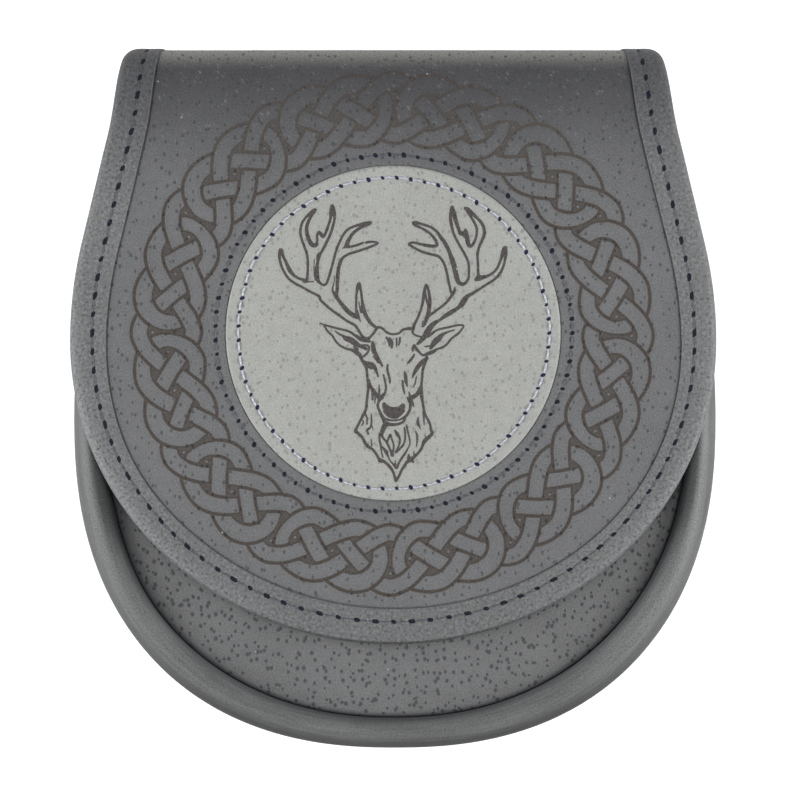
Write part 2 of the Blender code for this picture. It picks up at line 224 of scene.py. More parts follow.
def outline(name, top, corner):
    """An outline from its upper right end, down and round, to its upper left end. Corner 0 is square."""
    line = OUTLINES[name]
    y = np.linspace(top - corner, line["mid"], UPPER_STEPS + 1)
    x = half_width(name, y)
    if corner:
        turn = np.linspace(math.pi / 2, 0.0, CORNER_STEPS + 1)[:-1]
        rounded = top - corner + corner * np.sin(turn)
        x = np.append(half_width(name, rounded) - corner * (1.0 - np.cos(turn)), x)
        y = np.append(rounded, y)
    angle = np.linspace(0.0, math.pi / 2, ROUND_STEPS + 1)[1:]
    power = 2.0 / line["power"]
    round_x = line["half"] * np.abs(np.cos(angle)) ** power
    round_x[-1] = 0.0
    right = np.column_stack([
        np.append(x, round_x),
        np.append(y, line["mid"] - line["drop"] * np.sin(angle) ** power),
    ])
    whole = np.vstack([right, right[-2::-1] * (-1.0, 1.0)])
    whole[:, 0] += line["aside"] + left_in(name, whole)
    return whole


def left_in(name, points):
    """How far an outline's left side comes in: a bell over the height, times the way out squared."""
    line = OUTLINES[name]
    out = np.clip(-points[:, 0] / line["half"], 0.0, 1.0) ** 2
    return line["left_in"] * out * bell(points[:, 1], LEFT_IN_Y, LEFT_IN_REACH)


def spline(rows, steps, closed=False):
    """Catmull-Rom curve through rows, steps points to a span: each is a cubic of its four nearest rows."""
    rows = np.asarray(rows, float)
    if closed:
        padded = np.vstack([rows[-1:], rows, rows[:2]])
    else:
        padded = np.vstack([2 * rows[:1] - rows[1:2], rows, 2 * rows[-1:] - rows[-2:-1]])
    spans = len(padded) - 3
    t = np.linspace(0.0, 1.0, steps, endpoint=False)[None, :, None]
    p0, p1, p2, p3 = (padded[i:i + spans, None, :] for i in range(4))
    curve = p1 + 0.5 * t * (p2 - p0 + t * (2 * p0 - 5 * p1 + 4 * p2 - p3 + t * (3 * (p1 - p2) + p3 - p0)))
    curve = curve.reshape(-1, rows.shape[1])
    return curve if closed else np.vstack([curve, rows[-1:]])


def lengths(points):
    """Distance along a line from its first point to each point, over its first two or three columns."""
    return np.concatenate([[0.0], np.cumsum(np.linalg.norm(np.diff(points, axis=0), axis=1))])


def spaced(points, pitch):
    """The line's points resampled to an equal pitch along it, measured over its first two columns."""
    along = lengths(points[:, :2])
    count = max(2, round(along[-1] / pitch) + 1)
    wanted = np.linspace(0.0, along[-1], count)
    return np.column_stack([np.interp(wanted, along, column) for column in points.T])


def directions(points, closed=False):
    """Unit direction of a plane line at each point, from its two neighbours."""
    if closed:
        along = np.roll(points, -1, axis=0) - np.roll(points, 1, axis=0)
    else:
        along = np.gradient(points, axis=0)
    return along / np.linalg.norm(along, axis=1)[:, None]


def inset(points, by, closed=False):
    """The line moved by a distance to the right of its direction, which is the outlines' inner side."""
    along = directions(points, closed)
    return points + np.reshape(by, (-1, 1)) * np.column_stack([along[:, 1], -along[:, 0]])


def eased(value):
    """Smooth step: 3 s squared less 2 s cubed, for s limited to 0 to 1."""
    share = np.clip(value, 0.0, 1.0)
    return share * share * (3.0 - 2.0 * share)


def ramp(value, start, over):
    """Smooth step: 0 at start, 1 at over beyond it. A negative over lies below start."""
    return eased((value - start) / over)


def bell(value, middle, reach):
    """1 at the middle, falling off on both sides as e to the minus distance over reach squared."""
    return np.exp(-((value - middle) / reach) ** 2)


def across_end(line, count):
    """A line closed by count points straight across from its last point to its first."""
    x = np.linspace(line[-1, 0], line[0, 0], count + 2)[1:-1]
    return np.vstack([line, np.column_stack([x, np.full(count, line[0, 1])])])


def table_of(rows, columns):
    """The sheet places of a grid: every pair of a row's value and a column's value, row by row."""
    return np.stack(np.broadcast_arrays(rows, columns), axis=-1).reshape(-1, 2)


def grid_quads(rows, columns, wrap=False):
    """Quads of a grid of points stored row by row. With wrap, the last column joins the first."""
    row = np.arange(rows - 1)[:, None] * columns
    column = np.arange(columns if wrap else columns - 1)[None, :]
    following = (column + 1) % columns
    return np.stack([row + column, row + following, row + columns + following, row + columns + column],
                    axis=-1).reshape(-1, 4)


def fan(ring, centre):
    """Triangles from a ring of point numbers to one centre point."""
    return np.column_stack([ring, np.roll(ring, -1), np.full(len(ring), centre)])


def ring_faces(rings, around):
    """Faces of a skin of rings: quads between them, and fans from the first and the last ring to a centre.

    The two centre points are stored after the rings.
    """
    numbers = np.arange(around)
    centres = rings * around
    ends = np.vstack([fan(numbers[::-1], centres), fan(centres - around + numbers, centres + 1)])
    return grid_quads(rings, around, wrap=True), ends


def end_caps(stations, around):
    """The two end faces of a tube stored station by station."""
    numbers = np.arange(around)
    return np.array([numbers, (stations - 1) * around + numbers[::-1]])


# Meshes ----------------------------------------------------------------------------------------------------

def show(piece):
    """Put an object in the scene."""
    bpy.context.scene.collection.objects.link(piece)


def add_mesh(name, points, materials, quads=None, triangles=None, caps=None, *, sheet, values=None,
             kinds=None, closed=True, below=False, replaces=(), slot=None):
    """A mesh piece from arrays of points and faces.

    sheet is each point's place on the leather in mm, kept as a UV map. values are named numbers for each
    point. kinds is the material number of each face, in the order quads, triangles, caps. A closed body is
    turned so that its signed volume is positive, an open sheet so that most of it faces up, or down if it
    is seen from below.
    """
    groups = [np.asarray(group, np.int64) for group in (quads, triangles, caps) if group is not None]
    mesh = bpy.data.meshes.new(name)
    corners, starts, at = [], [], 0
    for group in groups:
        corners.append(group.ravel())
        starts.append(at + np.arange(len(group)) * group.shape[1])
        at += group.size
    size = sum(cross_sum(points, group, closed) for group in groups)
    if (size < 0) != below:
        corners = [group[:, ::-1].ravel() for group in groups]
    corners, starts = np.concatenate(corners), np.concatenate(starts)
    mesh.vertices.add(len(points))
    mesh.vertices.foreach_set("co", (points * MM).astype(np.float32).ravel())
    mesh.loops.add(len(corners))
    mesh.loops.foreach_set("vertex_index", corners.astype(np.int32))
    mesh.polygons.add(len(starts))
    mesh.polygons.foreach_set("loop_start", starts.astype(np.int32))
    if kinds is not None:
        mesh.polygons.foreach_set("material_index", np.asarray(kinds, np.int32))
    mesh.update(calc_edges=True)
    layer = mesh.uv_layers.new(name="sheet")
    layer.uv.foreach_set("vector", (sheet[corners] * MM).astype(np.float32).ravel())
    for key, value in (values or {}).items():
        attribute = mesh.attributes.new(key, "FLOAT", "POINT")
        attribute.data.foreach_set("value", np.asarray(value, np.float32))
    mesh.shade_smooth()
    for material in materials if isinstance(materials, (list, tuple)) else [materials]:
        mesh.materials.append(material)
    piece = bpy.data.objects.new(name, mesh)
    show(piece)
    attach(piece, "root")
    if replaces:
        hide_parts(*replaces)


def cross_sum(points, faces, closed):
    """Six times the signed volume under some faces, or for an open sheet twice its area seen from above."""
    total = 0.0
    first = points[faces[:, 0]]
    for second, third in zip(faces.T[1:-1], faces.T[2:]):
        normal = np.cross(points[second] - first, points[third] - first)
        total += np.einsum("ij,ij->", normal, first) if closed else normal[:, 2].sum()
    return total


# The flap's sheet ------------------------------------------------------------------------------------------

def fold_line():
    """The flap's middle surface from the side: an upper and a lower quarter of an ellipse, then the tail."""
    turn = np.linspace(0.0, math.pi / 2, FOLD_SAMPLES)
    upper_y = FOLD_START + (FOLD_END_Y - FOLD_START) * np.sin(turn)
    upper_z = FOLD_MID_LEVEL + (FLAP_LEVEL - FOLD_MID_LEVEL) * np.cos(turn)
    under_back = BINDING_OUT + GAP
    tail_level = back_outside(TAIL_START) - under_back
    lower_y = TAIL_START + (FOLD_END_Y - TAIL_START) * np.cos(turn)
    lower_z = tail_level + (FOLD_MID_LEVEL - tail_level) * (1.0 - np.sin(turn))
    tail_end = TAIL_START - TAIL_LENGTH
    y = np.concatenate([upper_y, lower_y[1:], [tail_end]])
    z = np.concatenate([upper_z, lower_z[1:], [back_outside(tail_end) - under_back]])
    travel = FOLD_START + np.concatenate([[0.0], np.cumsum(np.hypot(np.diff(y), np.diff(z)))])
    return travel, y, z


FOLD = fold_line()
TRAVEL_TOP = FOLD[0][FOLD_SAMPLES - 1]
TRAVEL_END = FOLD[0][-1]
TRAVEL_TAIL = FOLD[0][-2]
# The part of the fold that is seen from the front: its travels, and their y.
SEEN_TRAVEL, SEEN_Y = FOLD[0][:FOLD_SAMPLES], FOLD[1][:FOLD_SAMPLES]


def fold_point(travel):
    """(y, z) of the flap's middle surface at a travel."""
    y = np.where(travel < FOLD_START, travel, np.interp(travel, FOLD[0], FOLD[1]))
    return np.column_stack([y, np.interp(travel, FOLD[0], FOLD[2])])


def on_flap(flat, out_by):
    """Places on the flap laid flat, carried onto the folded sheet and out_by along its normal."""
    middle = fold_point(flat[:, 1])
    slope = fold_point(flat[:, 1] + SLOPE_STEP) - fold_point(flat[:, 1] - SLOPE_STEP)
    slope /= np.linalg.norm(slope, axis=1)[:, None]
    outwards = np.column_stack([-slope[:, 1], slope[:, 0]])
    out_by = np.broadcast_to(np.asarray(out_by, float), (len(flat),))
    return np.column_stack([flat[:, 0], middle + out_by[:, None] * outwards])


def travel_seen_at(y):
    """The travel of the sheet that lies above y when seen from the front."""
    return np.where(y < FOLD_START, y, np.interp(y, SEEN_Y, SEEN_TRAVEL))


def seen_at_travel(travel):
    """The y at which a travel is seen from the front. Past the fold's top y stays at the top's."""
    return np.where(travel < FOLD_START, travel, np.interp(travel, SEEN_TRAVEL, SEEN_Y))


def stretch_and_shade(travel):
    """How far the fold stretches the leather, and how much painted shade it gets there: 0 down the front to 1
    over the fold.
    """
    return ramp(travel, STRETCH_AND_SHADE_FROM, STRETCH_AND_SHADE_OVER)


def flap_side():
    """The flap's free edge laid flat, a millimetre or so to a point: right tail end to the lowest point."""
    line = OUTLINES["flap"]
    travel = np.concatenate([
        np.linspace(TRAVEL_END, TRAVEL_TAIL, EDGE_STEPS["tail"])[:-1],
        np.linspace(TRAVEL_TAIL, TRAVEL_TOP, EDGE_STEPS["fold_back"])[:-1],
        np.linspace(TRAVEL_TOP, FOLD_START, EDGE_STEPS["fold_front"])[:-1],
        np.linspace(FOLD_START, line["mid"], EDGE_STEPS["upper"]),
    ])
    angle = np.linspace(0.0, math.pi / 2, EDGE_STEPS["round"])[1:]
    x = np.append(half_width("flap", seen_at_travel(travel)), line["half"] * np.cos(angle))
    x[-1] = 0.0
    return np.column_stack([x, np.append(travel, line["mid"] - line["drop"] * np.sin(angle))])


def flap_line(by):
    """The whole free edge moved inwards over the sheet, eased in round the two upper corners.

    The further in, the more the line wanders: a few soft bumps are added to the distance.
    """
    right = flap_side()
    whole = np.vstack([right, right[-2::-1] * (-1.0, 1.0)])
    share = lengths(whole) / lengths(whole)[-1]
    wander = sum(amount * bell(share, at, reach) for at, reach, amount in EDGE_WANDERS)
    further = max(by - WANDERS_FROM, 0.0) / (STEP_EDGE - WANDERS_FROM)
    moved = inset(whole, by + wander * further**1.5)
    moved[[0, -1], 1] = TRAVEL_END
    past_corner = moved[:, 1] - TRAVEL_TOP - CORNER_DELAY * by / STEP_EDGE - CORNER_LATER
    side = np.sign(whole[:, 0])
    moved[:, 0] -= side * CORNER_IN * eased(0.5 + past_corner / CORNER_LENGTH)
    widens = np.where(side > 0, FOLD_WIDENS_RIGHT, FOLD_WIDENS_LEFT)
    moved[:, 0] += side * widens * ramp(moved[:, 1], FOLD_WIDENS_FROM, FOLD_WIDENS_OVER)
    return moved


def flap_border(by):
    """A closed line inside the flap: its free edge moved in by a distance, and across the tail's end.

    A line further in stops a little shorter of the end, so no two of them meet there.
    """
    line = flap_line(by)
    line[[0, -1], 1] = TRAVEL_END - TAIL_APART * by
    return across_end(line, TAIL_STEPS)


def make_flap(grain_side, flesh_side):
    """The flap: rings that pass from the roundel's seat to the step at the binding, round it and back below.

    A ring on the face is a share of the way from a circle about the roundel to the border, both along the
    same rays. A ring underneath is a share of the way from the border back to the middle.
    """
    centre = np.array([0.0, ROUNDEL_Y])
    border = flap_border(STEP_EDGE + STEP_ROUND)
    ray = border - centre
    ray /= np.linalg.norm(ray, axis=1)[:, None]
    wall = ROUNDEL_RADIUS + SEAT_WALL_GAP
    rings = [(centre + radius * ray, SEAT_OUT) for radius in (*SEAT_RADII, wall)]
    rings += [(centre + wall * ray, SEAT_LEDGE)]
    rings += [(centre + (ROUNDEL_RADIUS + SEAT_GAP + by) * ray, out) for by, out in SEAT_PROFILE]
    start = rings[-1][0]
    rings += [(start + share * (border - start), FLAP_HALF_THICK)
              for share in np.linspace(0.0, 1.0, FACE_RINGS)[1:]]
    rings += [(flap_border(STEP_EDGE + by), FLAP_HALF_THICK - drop) for by, drop in STEP_ROUNDING]
    rings += [(flap_border(by), out) for by, out in (
        (STEP_EDGE, GROOVE_FLOOR), (GROOVE_INNER, GROOVE_FLOOR), (GROOVE_INNER, TONGUE_HALF_THICK),
        (TONGUE_EDGE, TONGUE_HALF_THICK), (TONGUE_EDGE, -TONGUE_HALF_THICK), (STEP_EDGE, -TONGUE_HALF_THICK),
        (STEP_EDGE, STEP_BEVEL - FLAP_HALF_THICK))]
    face_rings = len(rings)
    rings += [(border + share * (centre - border), -FLAP_HALF_THICK)
              for share in np.linspace(0.0, 1.0 - INNERMOST["flap"], UNDER_RINGS)]
    around = len(border)
    flat = np.vstack([ring for ring, _ in rings])
    out = np.repeat([out for _, out in rings], around)
    flat = np.vstack([flat, centre, centre])
    points = on_flap(flat, np.append(out, [SEAT_OUT, -FLAP_HALF_THICK]))
    quads, triangles = ring_faces(len(rings), around)
    face = (face_rings - 1) * around
    kinds = np.repeat([0, 1, 0, 1], [face, len(quads) - face, around, around])
    # Over the fold the flap gets painted shade, on the mask of the fold's stretch.
    add_mesh("flap_leather", points, [grain_side, flesh_side], quads, triangles, sheet=flat, kinds=kinds,
             values={"stretch_and_shade": stretch_and_shade(flat[:, 1])}, replaces=["flap"], slot="pored_leather")


def make_binding(material):
    """The binding: a section of a rounded half, its mirror image and an inner U, carried along the edge."""
    half = spline(BINDING_HALF, 3)
    outer = np.vstack([half, half[-2::-1] * (1.0, -1.0)])
    section = np.vstack([outer, BINDING_INNER])
    rows = np.stack([on_flap(flap_line(by), out) for by, out in section], axis=1)
    stations, around = rows.shape[:2]
    middle = flap_line(BINDING_MIDDLE)
    edge = lengths(middle)
    share = (edge / edge[-1])[:, None]
    # Masks: lighter on the face side, partly wear where a hand rubs it and partly a painted highlight where
    # side light catches it; painted shade at its fold round the flap's edge and at the lowest place.
    by, out = section.T
    rubbed = sum(most * bell(share, at, WEAR_AND_HIGHLIGHT_REACH) for at, most in BINDING_WEAR_AND_HIGHLIGHT)
    wear_and_highlight = rubbed * ramp(by, -0.42, 1.2) * ramp(by, 4.6, -3.0) * (out > 0.0)
    lowest = bell(share, 0.5, LOWEST_REACH)
    edge_shade = SHADED_EDGE + (1.0 - SHADED_EDGE) * lowest
    shaded = np.maximum(edge_shade * ramp(by, 1.0, -0.55), SHADED_FACE * lowest)
    add_mesh("binding_leather", rows.reshape(-1, 3), material, grid_quads(stations, around, wrap=True),
             caps=end_caps(stations, around),
             sheet=table_of(edge[:, None], lengths(section)) + (0.0, SHEET_FROM["binding"]),
             values={"wear_and_highlight": wear_and_highlight.ravel(), "edge": shaded.ravel(),
                     "stretch_and_shade": np.repeat(BINDING_FOLD_SHADE * stretch_and_shade(middle[:, 1]), around)},
             replaces=["flap_binding"], slot="smooth_leather")


# Pouch -----------------------------------------------------------------------------------------------------

def make_gusset(grain_side, flesh_side):
    """The gusset: its section, a spline and the same line a thickness inside it, carried from seam to rim."""
    seam = outline("seam", GUSSET_TOP, 0.0)
    rim = inset(outline("body", GUSSET_TOP, 0.0), RIM_SHOWS)
    rim[[0, -1], 1] = seam[[0, -1], 1]
    length = np.linalg.norm(rim - seam, axis=1)[:, None]
    out = (rim - seam) / length
    table = spline(GUSSET_SECTION, 4)
    across = table[:, 0] * length
    floor = back_outside(seam[:, 1:] + across * out[:, 1:]) + BACK_THICK + GAP
    level = floor + table[:, 1] * (SEAM_LEVEL - floor) + table[:, 2]
    outer = np.stack([across, level], axis=-1)
    along = np.gradient(outer, axis=1)
    along /= np.linalg.norm(along, axis=2)[..., None]
    inner = outer + GUSSET_THICK * np.stack([along[..., 1], -along[..., 0]], axis=-1)
    inner[:, 0, 1] = outer[:, 0, 1]
    inner[:, -1, 0] = outer[:, -1, 0]
    section = np.concatenate([outer, inner[:, ::-1]], axis=1)
    stations, around = section.shape[:2]
    plan = seam[:, None, :] + section[..., :1] * out[:, None, :]
    points = np.concatenate([plan, section[..., 1:]], axis=-1).reshape(-1, 3)
    edge = lengths(0.5 * (seam + rim))
    sheet = table_of(edge[:, None], lengths(section[stations // 4]))
    inside = np.tile(np.arange(around) >= len(table), stations - 1)
    outside = np.append(np.ones(len(table)), np.zeros(len(table)))
    place = np.append(table[:, 0], table[::-1, 0])
    # Masks by the place across the roll: painted shade towards the rim, most at the bottom, and in the seam;
    # between them on the flanks a painted highlight, which also places the coat's sheen.
    x = seam[:, :1]
    flank = ramp(np.abs(x), FLANK_FROM, FLANK_OVER)
    rim_side_shade = outside * (1.0 - 0.55 * flank) * ramp(place, 0.56, 0.38)
    wide = 1.5 - 0.6 * flank * (x < 0.0)
    seam_shade = outside * eased(1.2 - (place * length - 0.2) / wide)
    wear_and_highlight = outside * flank * ramp(place, 0.08, 0.2) * ramp(place, 0.84, -0.34) * (0.8 + 0.2 * np.sign(x))
    add_mesh("gusset_leather", points, [grain_side, flesh_side], grid_quads(stations, around, wrap=True),
             caps=end_caps(stations, around), sheet=sheet + (0.0, SHEET_FROM["gusset"]),
             values={"edge": rim_side_shade.ravel(), "seam_shade": seam_shade.ravel(), "wear_and_highlight": wear_and_highlight.ravel()},
             kinds=np.append(inside, [0, 0]), replaces=["gusset"], slot="smooth_leather")


def dome_level(points):
    """Height of the front: the seam's level, plus a rise times one less a power of the way out."""
    x, y = np.abs(points[:, 0] - left_in("seam", points)), points[:, 1]
    line = OUTLINES["seam"]
    low = np.clip((line["mid"] - y) / line["drop"], 0.0, None)
    share = ((x / line["half"]) ** line["power"] + low ** line["power"]) ** (1.0 / line["power"])
    above = y > line["mid"]
    share[above] = x[above] / half_width("seam", y[above])
    near_mouth = np.clip((y - MOUTH_FROM) / (MOUTH - MOUTH_FROM), 0.0, 1.0)
    rise = DOME_RISE * (1.0 - MOUTH_FLATTENS * near_mouth)
    return SEAM_LEVEL + rise * (1.0 - np.clip(share, 0.0, 1.0) ** DOME_POWER)


def make_front(grain_side, flesh_side):
    """The front: rings spread from one centre over the dome, turned down at the edge, and back underneath."""
    edge = across_end(outline("seam", MOUTH, MOUTH_CORNER), TOP_STEPS)
    centre = np.array([0.0, DOME_CENTRE])
    reach = np.linalg.norm(edge - centre, axis=1)
    shares = np.concatenate([np.linspace(INNERMOST["front"], FRONT_DENSER_FROM, FRONT_RINGS["inner"]),
                             np.linspace(FRONT_DENSER_FROM, 1.0, FRONT_RINGS["outer"])[1:]])
    below = np.linspace(1.0, INNERMOST["front"], FRONT_RINGS["under"])
    # The painted shade in the seam is wider at the left, from a height up.
    left = (edge[:, 0] < 0.0) * ramp(edge[:, 1], LEFT_DARK_FROM, LEFT_DARK_OVER)
    band = SEAM_DARK + SEAM_DARK_LEFT * left
    inwards = ((1.0 - shares)[:, None] * reach).ravel()
    around = len(edge)
    turned = np.clip(1.0 - inwards / EDGE_TURN, 0.0, 1.0)
    upper = len(turned)
    lower = len(below) * around
    flat = (centre + np.append(shares, below)[:, None, None] * (edge - centre)).reshape(-1, 2)
    flat = np.vstack([flat, centre, centre])
    drop = np.concatenate([EDGE_DROP * turned**2, np.full(lower, FRONT_THICK), [0.0, FRONT_THICK]])
    points = np.column_stack([flat, dome_level(flat) - drop])
    quads, triangles = ring_faces(len(shares) + len(below), around)
    kinds = np.repeat([0, 1, 0, 1], [upper, len(quads) - upper, around, around])
    # Painted shade in the seam's gap, along the front's rim.
    seam_shade = eased(1.7 * (1.0 - inwards / np.tile(band, len(shares))))
    seam_shade = np.append(seam_shade, np.zeros(lower + 2))
    add_mesh("front_leather", points, [grain_side, flesh_side], quads, triangles, sheet=flat, kinds=kinds,
             values={"seam_shade": seam_shade}, replaces=["front_panel"], slot="pored_leather")


def make_back(grain_side, flesh_side, painted_edge):
    """The back: a flat leaning sheet with a rounded, painted rim. Rings go over it from outside."""
    rim = across_end(outline("body", BACK_TOP, BACK_CORNER), TOP_STEPS)
    middle = inset(rim, BACK_RIM[0][0], closed=True)
    outwards = np.linspace(INNERMOST["back"], 1.0, BACK_RINGS)
    plans = [(share * middle, 0.0) for share in outwards[:-1]]
    plans += [(inset(rim, by, closed=True), level) for by, level in BACK_RIM]
    plans += [(share * middle, BACK_THICK) for share in outwards[-2::-1]]
    around = len(rim)
    flat = np.vstack([*(plan for plan, _ in plans), np.zeros((2, 2))])
    level = np.append(np.repeat([level for _, level in plans], around), [0.0, BACK_THICK])
    points = np.column_stack([flat, back_outside(flat[:, 1]) + level])
    quads, triangles = ring_faces(len(plans), around)
    outside = len(outwards) * around
    rounded = (len(BACK_RIM) - 1) * around
    kinds = np.repeat([0, 2, 1, 0, 1], [outside, rounded, len(quads) - outside - rounded, around, around])
    add_mesh("back_leather", points, [grain_side, flesh_side, painted_edge], quads, triangles,
             sheet=flat + (SHEET_FROM["back"], 0.0), kinds=kinds, replaces=["back_panel"],
             slot="smooth_leather")


def roundel_level(radius):
    """The roundel's face: a level, less a bell for the stitches' channel and a parabola at the rim."""
    channel = CHANNEL_DEEP * bell(radius, PALE_ROW_RADIUS, CHANNEL_REACH)
    rim = np.clip((radius - (ROUNDEL_RADIUS - ROUNDEL_RIM)) / ROUNDEL_RIM, 0.0, 1.0)
    return ROUNDEL_TOP - channel - ROUNDEL_RIM_DROP * rim**2


def make_roundel(material):
    """The roundel: rings of a turned profile, denser near the rim, and a flat underside."""
    radii = np.concatenate([np.linspace(2.0, 40.0, 20), np.linspace(40.0, ROUNDEL_RADIUS, 34)[1:]])
    levels = roundel_level(radii)
    bottom = ROUNDEL_TOP - ROUNDEL_THICK
    radii = np.append(radii, [ROUNDEL_RADIUS, 20.0])
    levels = np.append(levels, [bottom, bottom])
    turn = np.linspace(0.0, 2.0 * math.pi, 256, endpoint=False)
    flat = radii[:, None, None] * np.column_stack([np.cos(turn), np.sin(turn)])
    flat = np.vstack([flat.reshape(-1, 2), [(0.0, 0.0), (0.0, 0.0)]]) + (0.0, ROUNDEL_Y)
    z = np.append(np.repeat(levels, len(turn)), [ROUNDEL_TOP, bottom])
    add_mesh("roundel_leather", np.column_stack([flat, z]), material, *ring_faces(len(radii), len(turn)),
             sheet=flat, replaces=["roundel"], slot="pale_leather")


def loop_line():
    """A belt loop's middle line from the side: along the back, down to its level part, and up again."""
    half = 0.5 * LOOP_THICK
    share = np.linspace(0.0, 1.0, 17)
    ease = 0.5 - 0.5 * np.cos(math.pi * share)
    start, leaves, level, rises, meets, end = LOOP_STOPS
    sewn = [back_outside(y) - GAP - half for y in (start, leaves, meets, end)]
    y = np.concatenate([np.linspace(start, leaves, 9)[:-1], leaves + share * (level - leaves),
                        rises + share * (meets - rises), np.linspace(meets, end, 9)[1:]])
    z = np.concatenate([np.linspace(sewn[0], sewn[1], 9)[:-1], sewn[1] + ease * (half - sewn[1]),
                        half + ease * (sewn[2] - half), np.linspace(sewn[2], sewn[3], 9)[1:]])
    return np.column_stack([y, z])


def make_loop(name, x, material):
    """A belt loop: a flat strip's rounded section carried along its line, and rounded off at both ends."""
    line = loop_line()
    along = directions(line)
    normal = np.column_stack([along[:, 1], -along[:, 0]])
    turn = np.linspace(0.0, math.pi, 9) - math.pi / 2
    half, wide = 0.5 * LOOP_THICK, 0.5 * LOOP_WIDE
    end_x = wide - half * 0.6 * (1.0 - np.cos(turn))
    right = np.column_stack([end_x, half * np.sin(turn)])
    across = np.linspace(end_x[-1], -end_x[-1], 14)[1:-1]
    section = np.vstack([right, np.column_stack([across, np.full(len(across), half)]),
                         (right * (-1.0, 1.0))[::-1],
                         np.column_stack([across[::-1], np.full(len(across), -half)])])
    around = len(section)
    plan = line[:, None, :] + section[None, :, 1:] * normal[:, None, :]
    side = np.broadcast_to(x + section[:, 0], plan.shape[:2])
    points = np.concatenate([side[..., None], plan], axis=-1).reshape(-1, 3)
    sheet = table_of(lengths(line)[:, None], section[:, 0])
    add_mesh(name + "_leather", points, material, grid_quads(len(line), around, wrap=True),
             caps=end_caps(len(line), around), sheet=sheet + (x, SHEET_FROM["loops"]), replaces=[name],
             slot="smooth_leather")


# Stitching -------------------------------------------------------------------------------------------------

# Where the rows of stitches run: radii and distances from an edge, half lengths and levels, each with its
# number of stitches or their pitch.
PALE_ROW_RADIUS = 43.2
PALE_ROW_STITCHES = 69
DARK_ROW_RADIUS = 49.6
DARK_ROW_STITCHES = 79
BINDING_ROW = 6.3
BINDING_PITCH = 5.2
BINDING_SWAY = 0.14
BACK_ROW_DOWN = 6.0
BACK_ROW_IN = 5.5
BACK_PITCH = 4.6
TAIL_ROW_HALF = 53.0
TAIL_ROW_IN = 5.0
LOOP_ROW_HALF = 9.0
LOOP_ROWS = {"lower": 17.0, "upper": 59.0}
LOOP_PITCH = 3.6
HOLE_POINTS = 12


def on_face(flat, level):
    """Places seen from the front, at a height of their own."""
    return np.column_stack([flat, np.broadcast_to(level, len(flat))])


def on_back(flat, out_by):
    """Places on the back's outer face, out_by below it."""
    return np.column_stack([flat, back_outside(flat[:, 1]) - out_by])


def circle_line(radius, count, sway):
    """Stitch holes on a circle about the roundel's centre. The first is repeated at the end.

    Hand-held work sways: the radius has three slow waves added to it.
    """
    turn = np.linspace(0.0, 2.0 * math.pi, count + 1)
    waves = np.sin(3.0 * turn + 0.7) + 0.7 * np.sin(7.0 * turn + 2.1) + 0.5 * np.sin(17.0 * turn)
    r = radius + sway * waves
    return np.column_stack([r * np.cos(turn), ROUNDEL_Y + r * np.sin(turn)])


def make_holes(name, line, carry, level, long, wide, slant, material, closed=False, below=False):
    """Needle holes: a dark oval at each stitch, painted shade for the hole's depth, turned by slant from the
    row's direction.

    Long may differ from hole to hole. No two neighbours have quite the same size or slant.
    """
    along = directions(line)
    if closed:
        line, along = line[:-1], along[:-1]
    side = np.column_stack([along[:, 1], -along[:, 0]])[:, None]
    along = along[:, None]
    turn = np.linspace(0.0, 2.0 * math.pi, HOLE_POINTS, endpoint=False)
    numbers = np.arange(len(line))
    half = 0.5 + 0.08 * np.sin(2.4 * numbers)[:, None]
    lean = np.radians(slant + 9.0 * np.sin(1.7 * numbers))[:, None, None]
    length = (np.reshape(long, (-1, 1)) * half * np.cos(turn))[..., None]
    width = (wide * half * np.sin(turn))[..., None]
    flat = line[:, None] + length * (along * np.cos(lean) + side * np.sin(lean))
    flat = flat + width * (side * np.cos(lean) - along * np.sin(lean))
    flat = flat.reshape(-1, 2)
    ovals = np.arange(len(flat)).reshape(-1, HOLE_POINTS)
    add_mesh(name, carry(flat, level), material, caps=ovals, sheet=flat, closed=False, below=below)


# Places along a thread: shares of the way from one hole to the next.
THREAD_STATIONS = (0.0, 0.08, 0.2, 0.36, 0.5, 0.64, 0.8, 0.92, 1.0)
THREAD_DIP = 2.2
# Each thread has its own part of the sheet, this far from the one before.
THREAD_SHIFT = 7.3


def make_threads(name, line, carry, level, thick, rise, material, sideways=0.0):
    """Threads between successive holes: a six-sided tube that comes up from one hole and dips into the next.

    Its height is the level less a dip, plus a rise that follows the root of a half sine along the stitch.
    Seen from above it bows sideways by a half sine.
    """
    share = np.array(THREAD_STATIONS)
    turn = np.linspace(0.0, 2.0 * math.pi, 6, endpoint=False)
    start, stop = line[:-1, None, None], line[1:, None, None]
    step = np.linalg.norm(line[1:] - line[:-1], axis=1)
    along = (line[1:] - line[:-1]) / step[:, None]
    side = np.column_stack([along[:, 1], -along[:, 0]])[:, None, None]
    half_sine = np.sin(math.pi * share)
    middle = start + share[None, :, None, None] * (stop - start)
    bow = sideways * half_sine[None, :, None, None] * side
    flat = middle + bow + 0.5 * thick * np.cos(turn)[None, None, :, None] * side
    lift = np.sqrt(half_sine.clip(0.0))
    height = level - THREAD_DIP * thick * (1.0 - lift) + rise * lift
    height = height[None, :, None] + 0.5 * thick * np.sin(turn)[None, None, :]
    count, sections, sides = flat.shape[:3]
    points = carry(flat.reshape(-1, 2), np.broadcast_to(height, flat.shape[:3]).ravel())
    first = (np.arange(count) * sections * sides)[:, None, None]
    quads = (first + grid_quads(sections, sides, wrap=True)[None]).reshape(-1, 4)
    caps = (first + end_caps(sections, sides)[None]).reshape(-1, sides)
    length = share[None, :, None] * step[:, None, None] + np.arange(count)[:, None, None] * THREAD_SHIFT
    sheet = table_of(length, turn[None, None, :] * 0.5 * thick)
    add_mesh(name, points, material, quads, caps=caps, sheet=sheet)


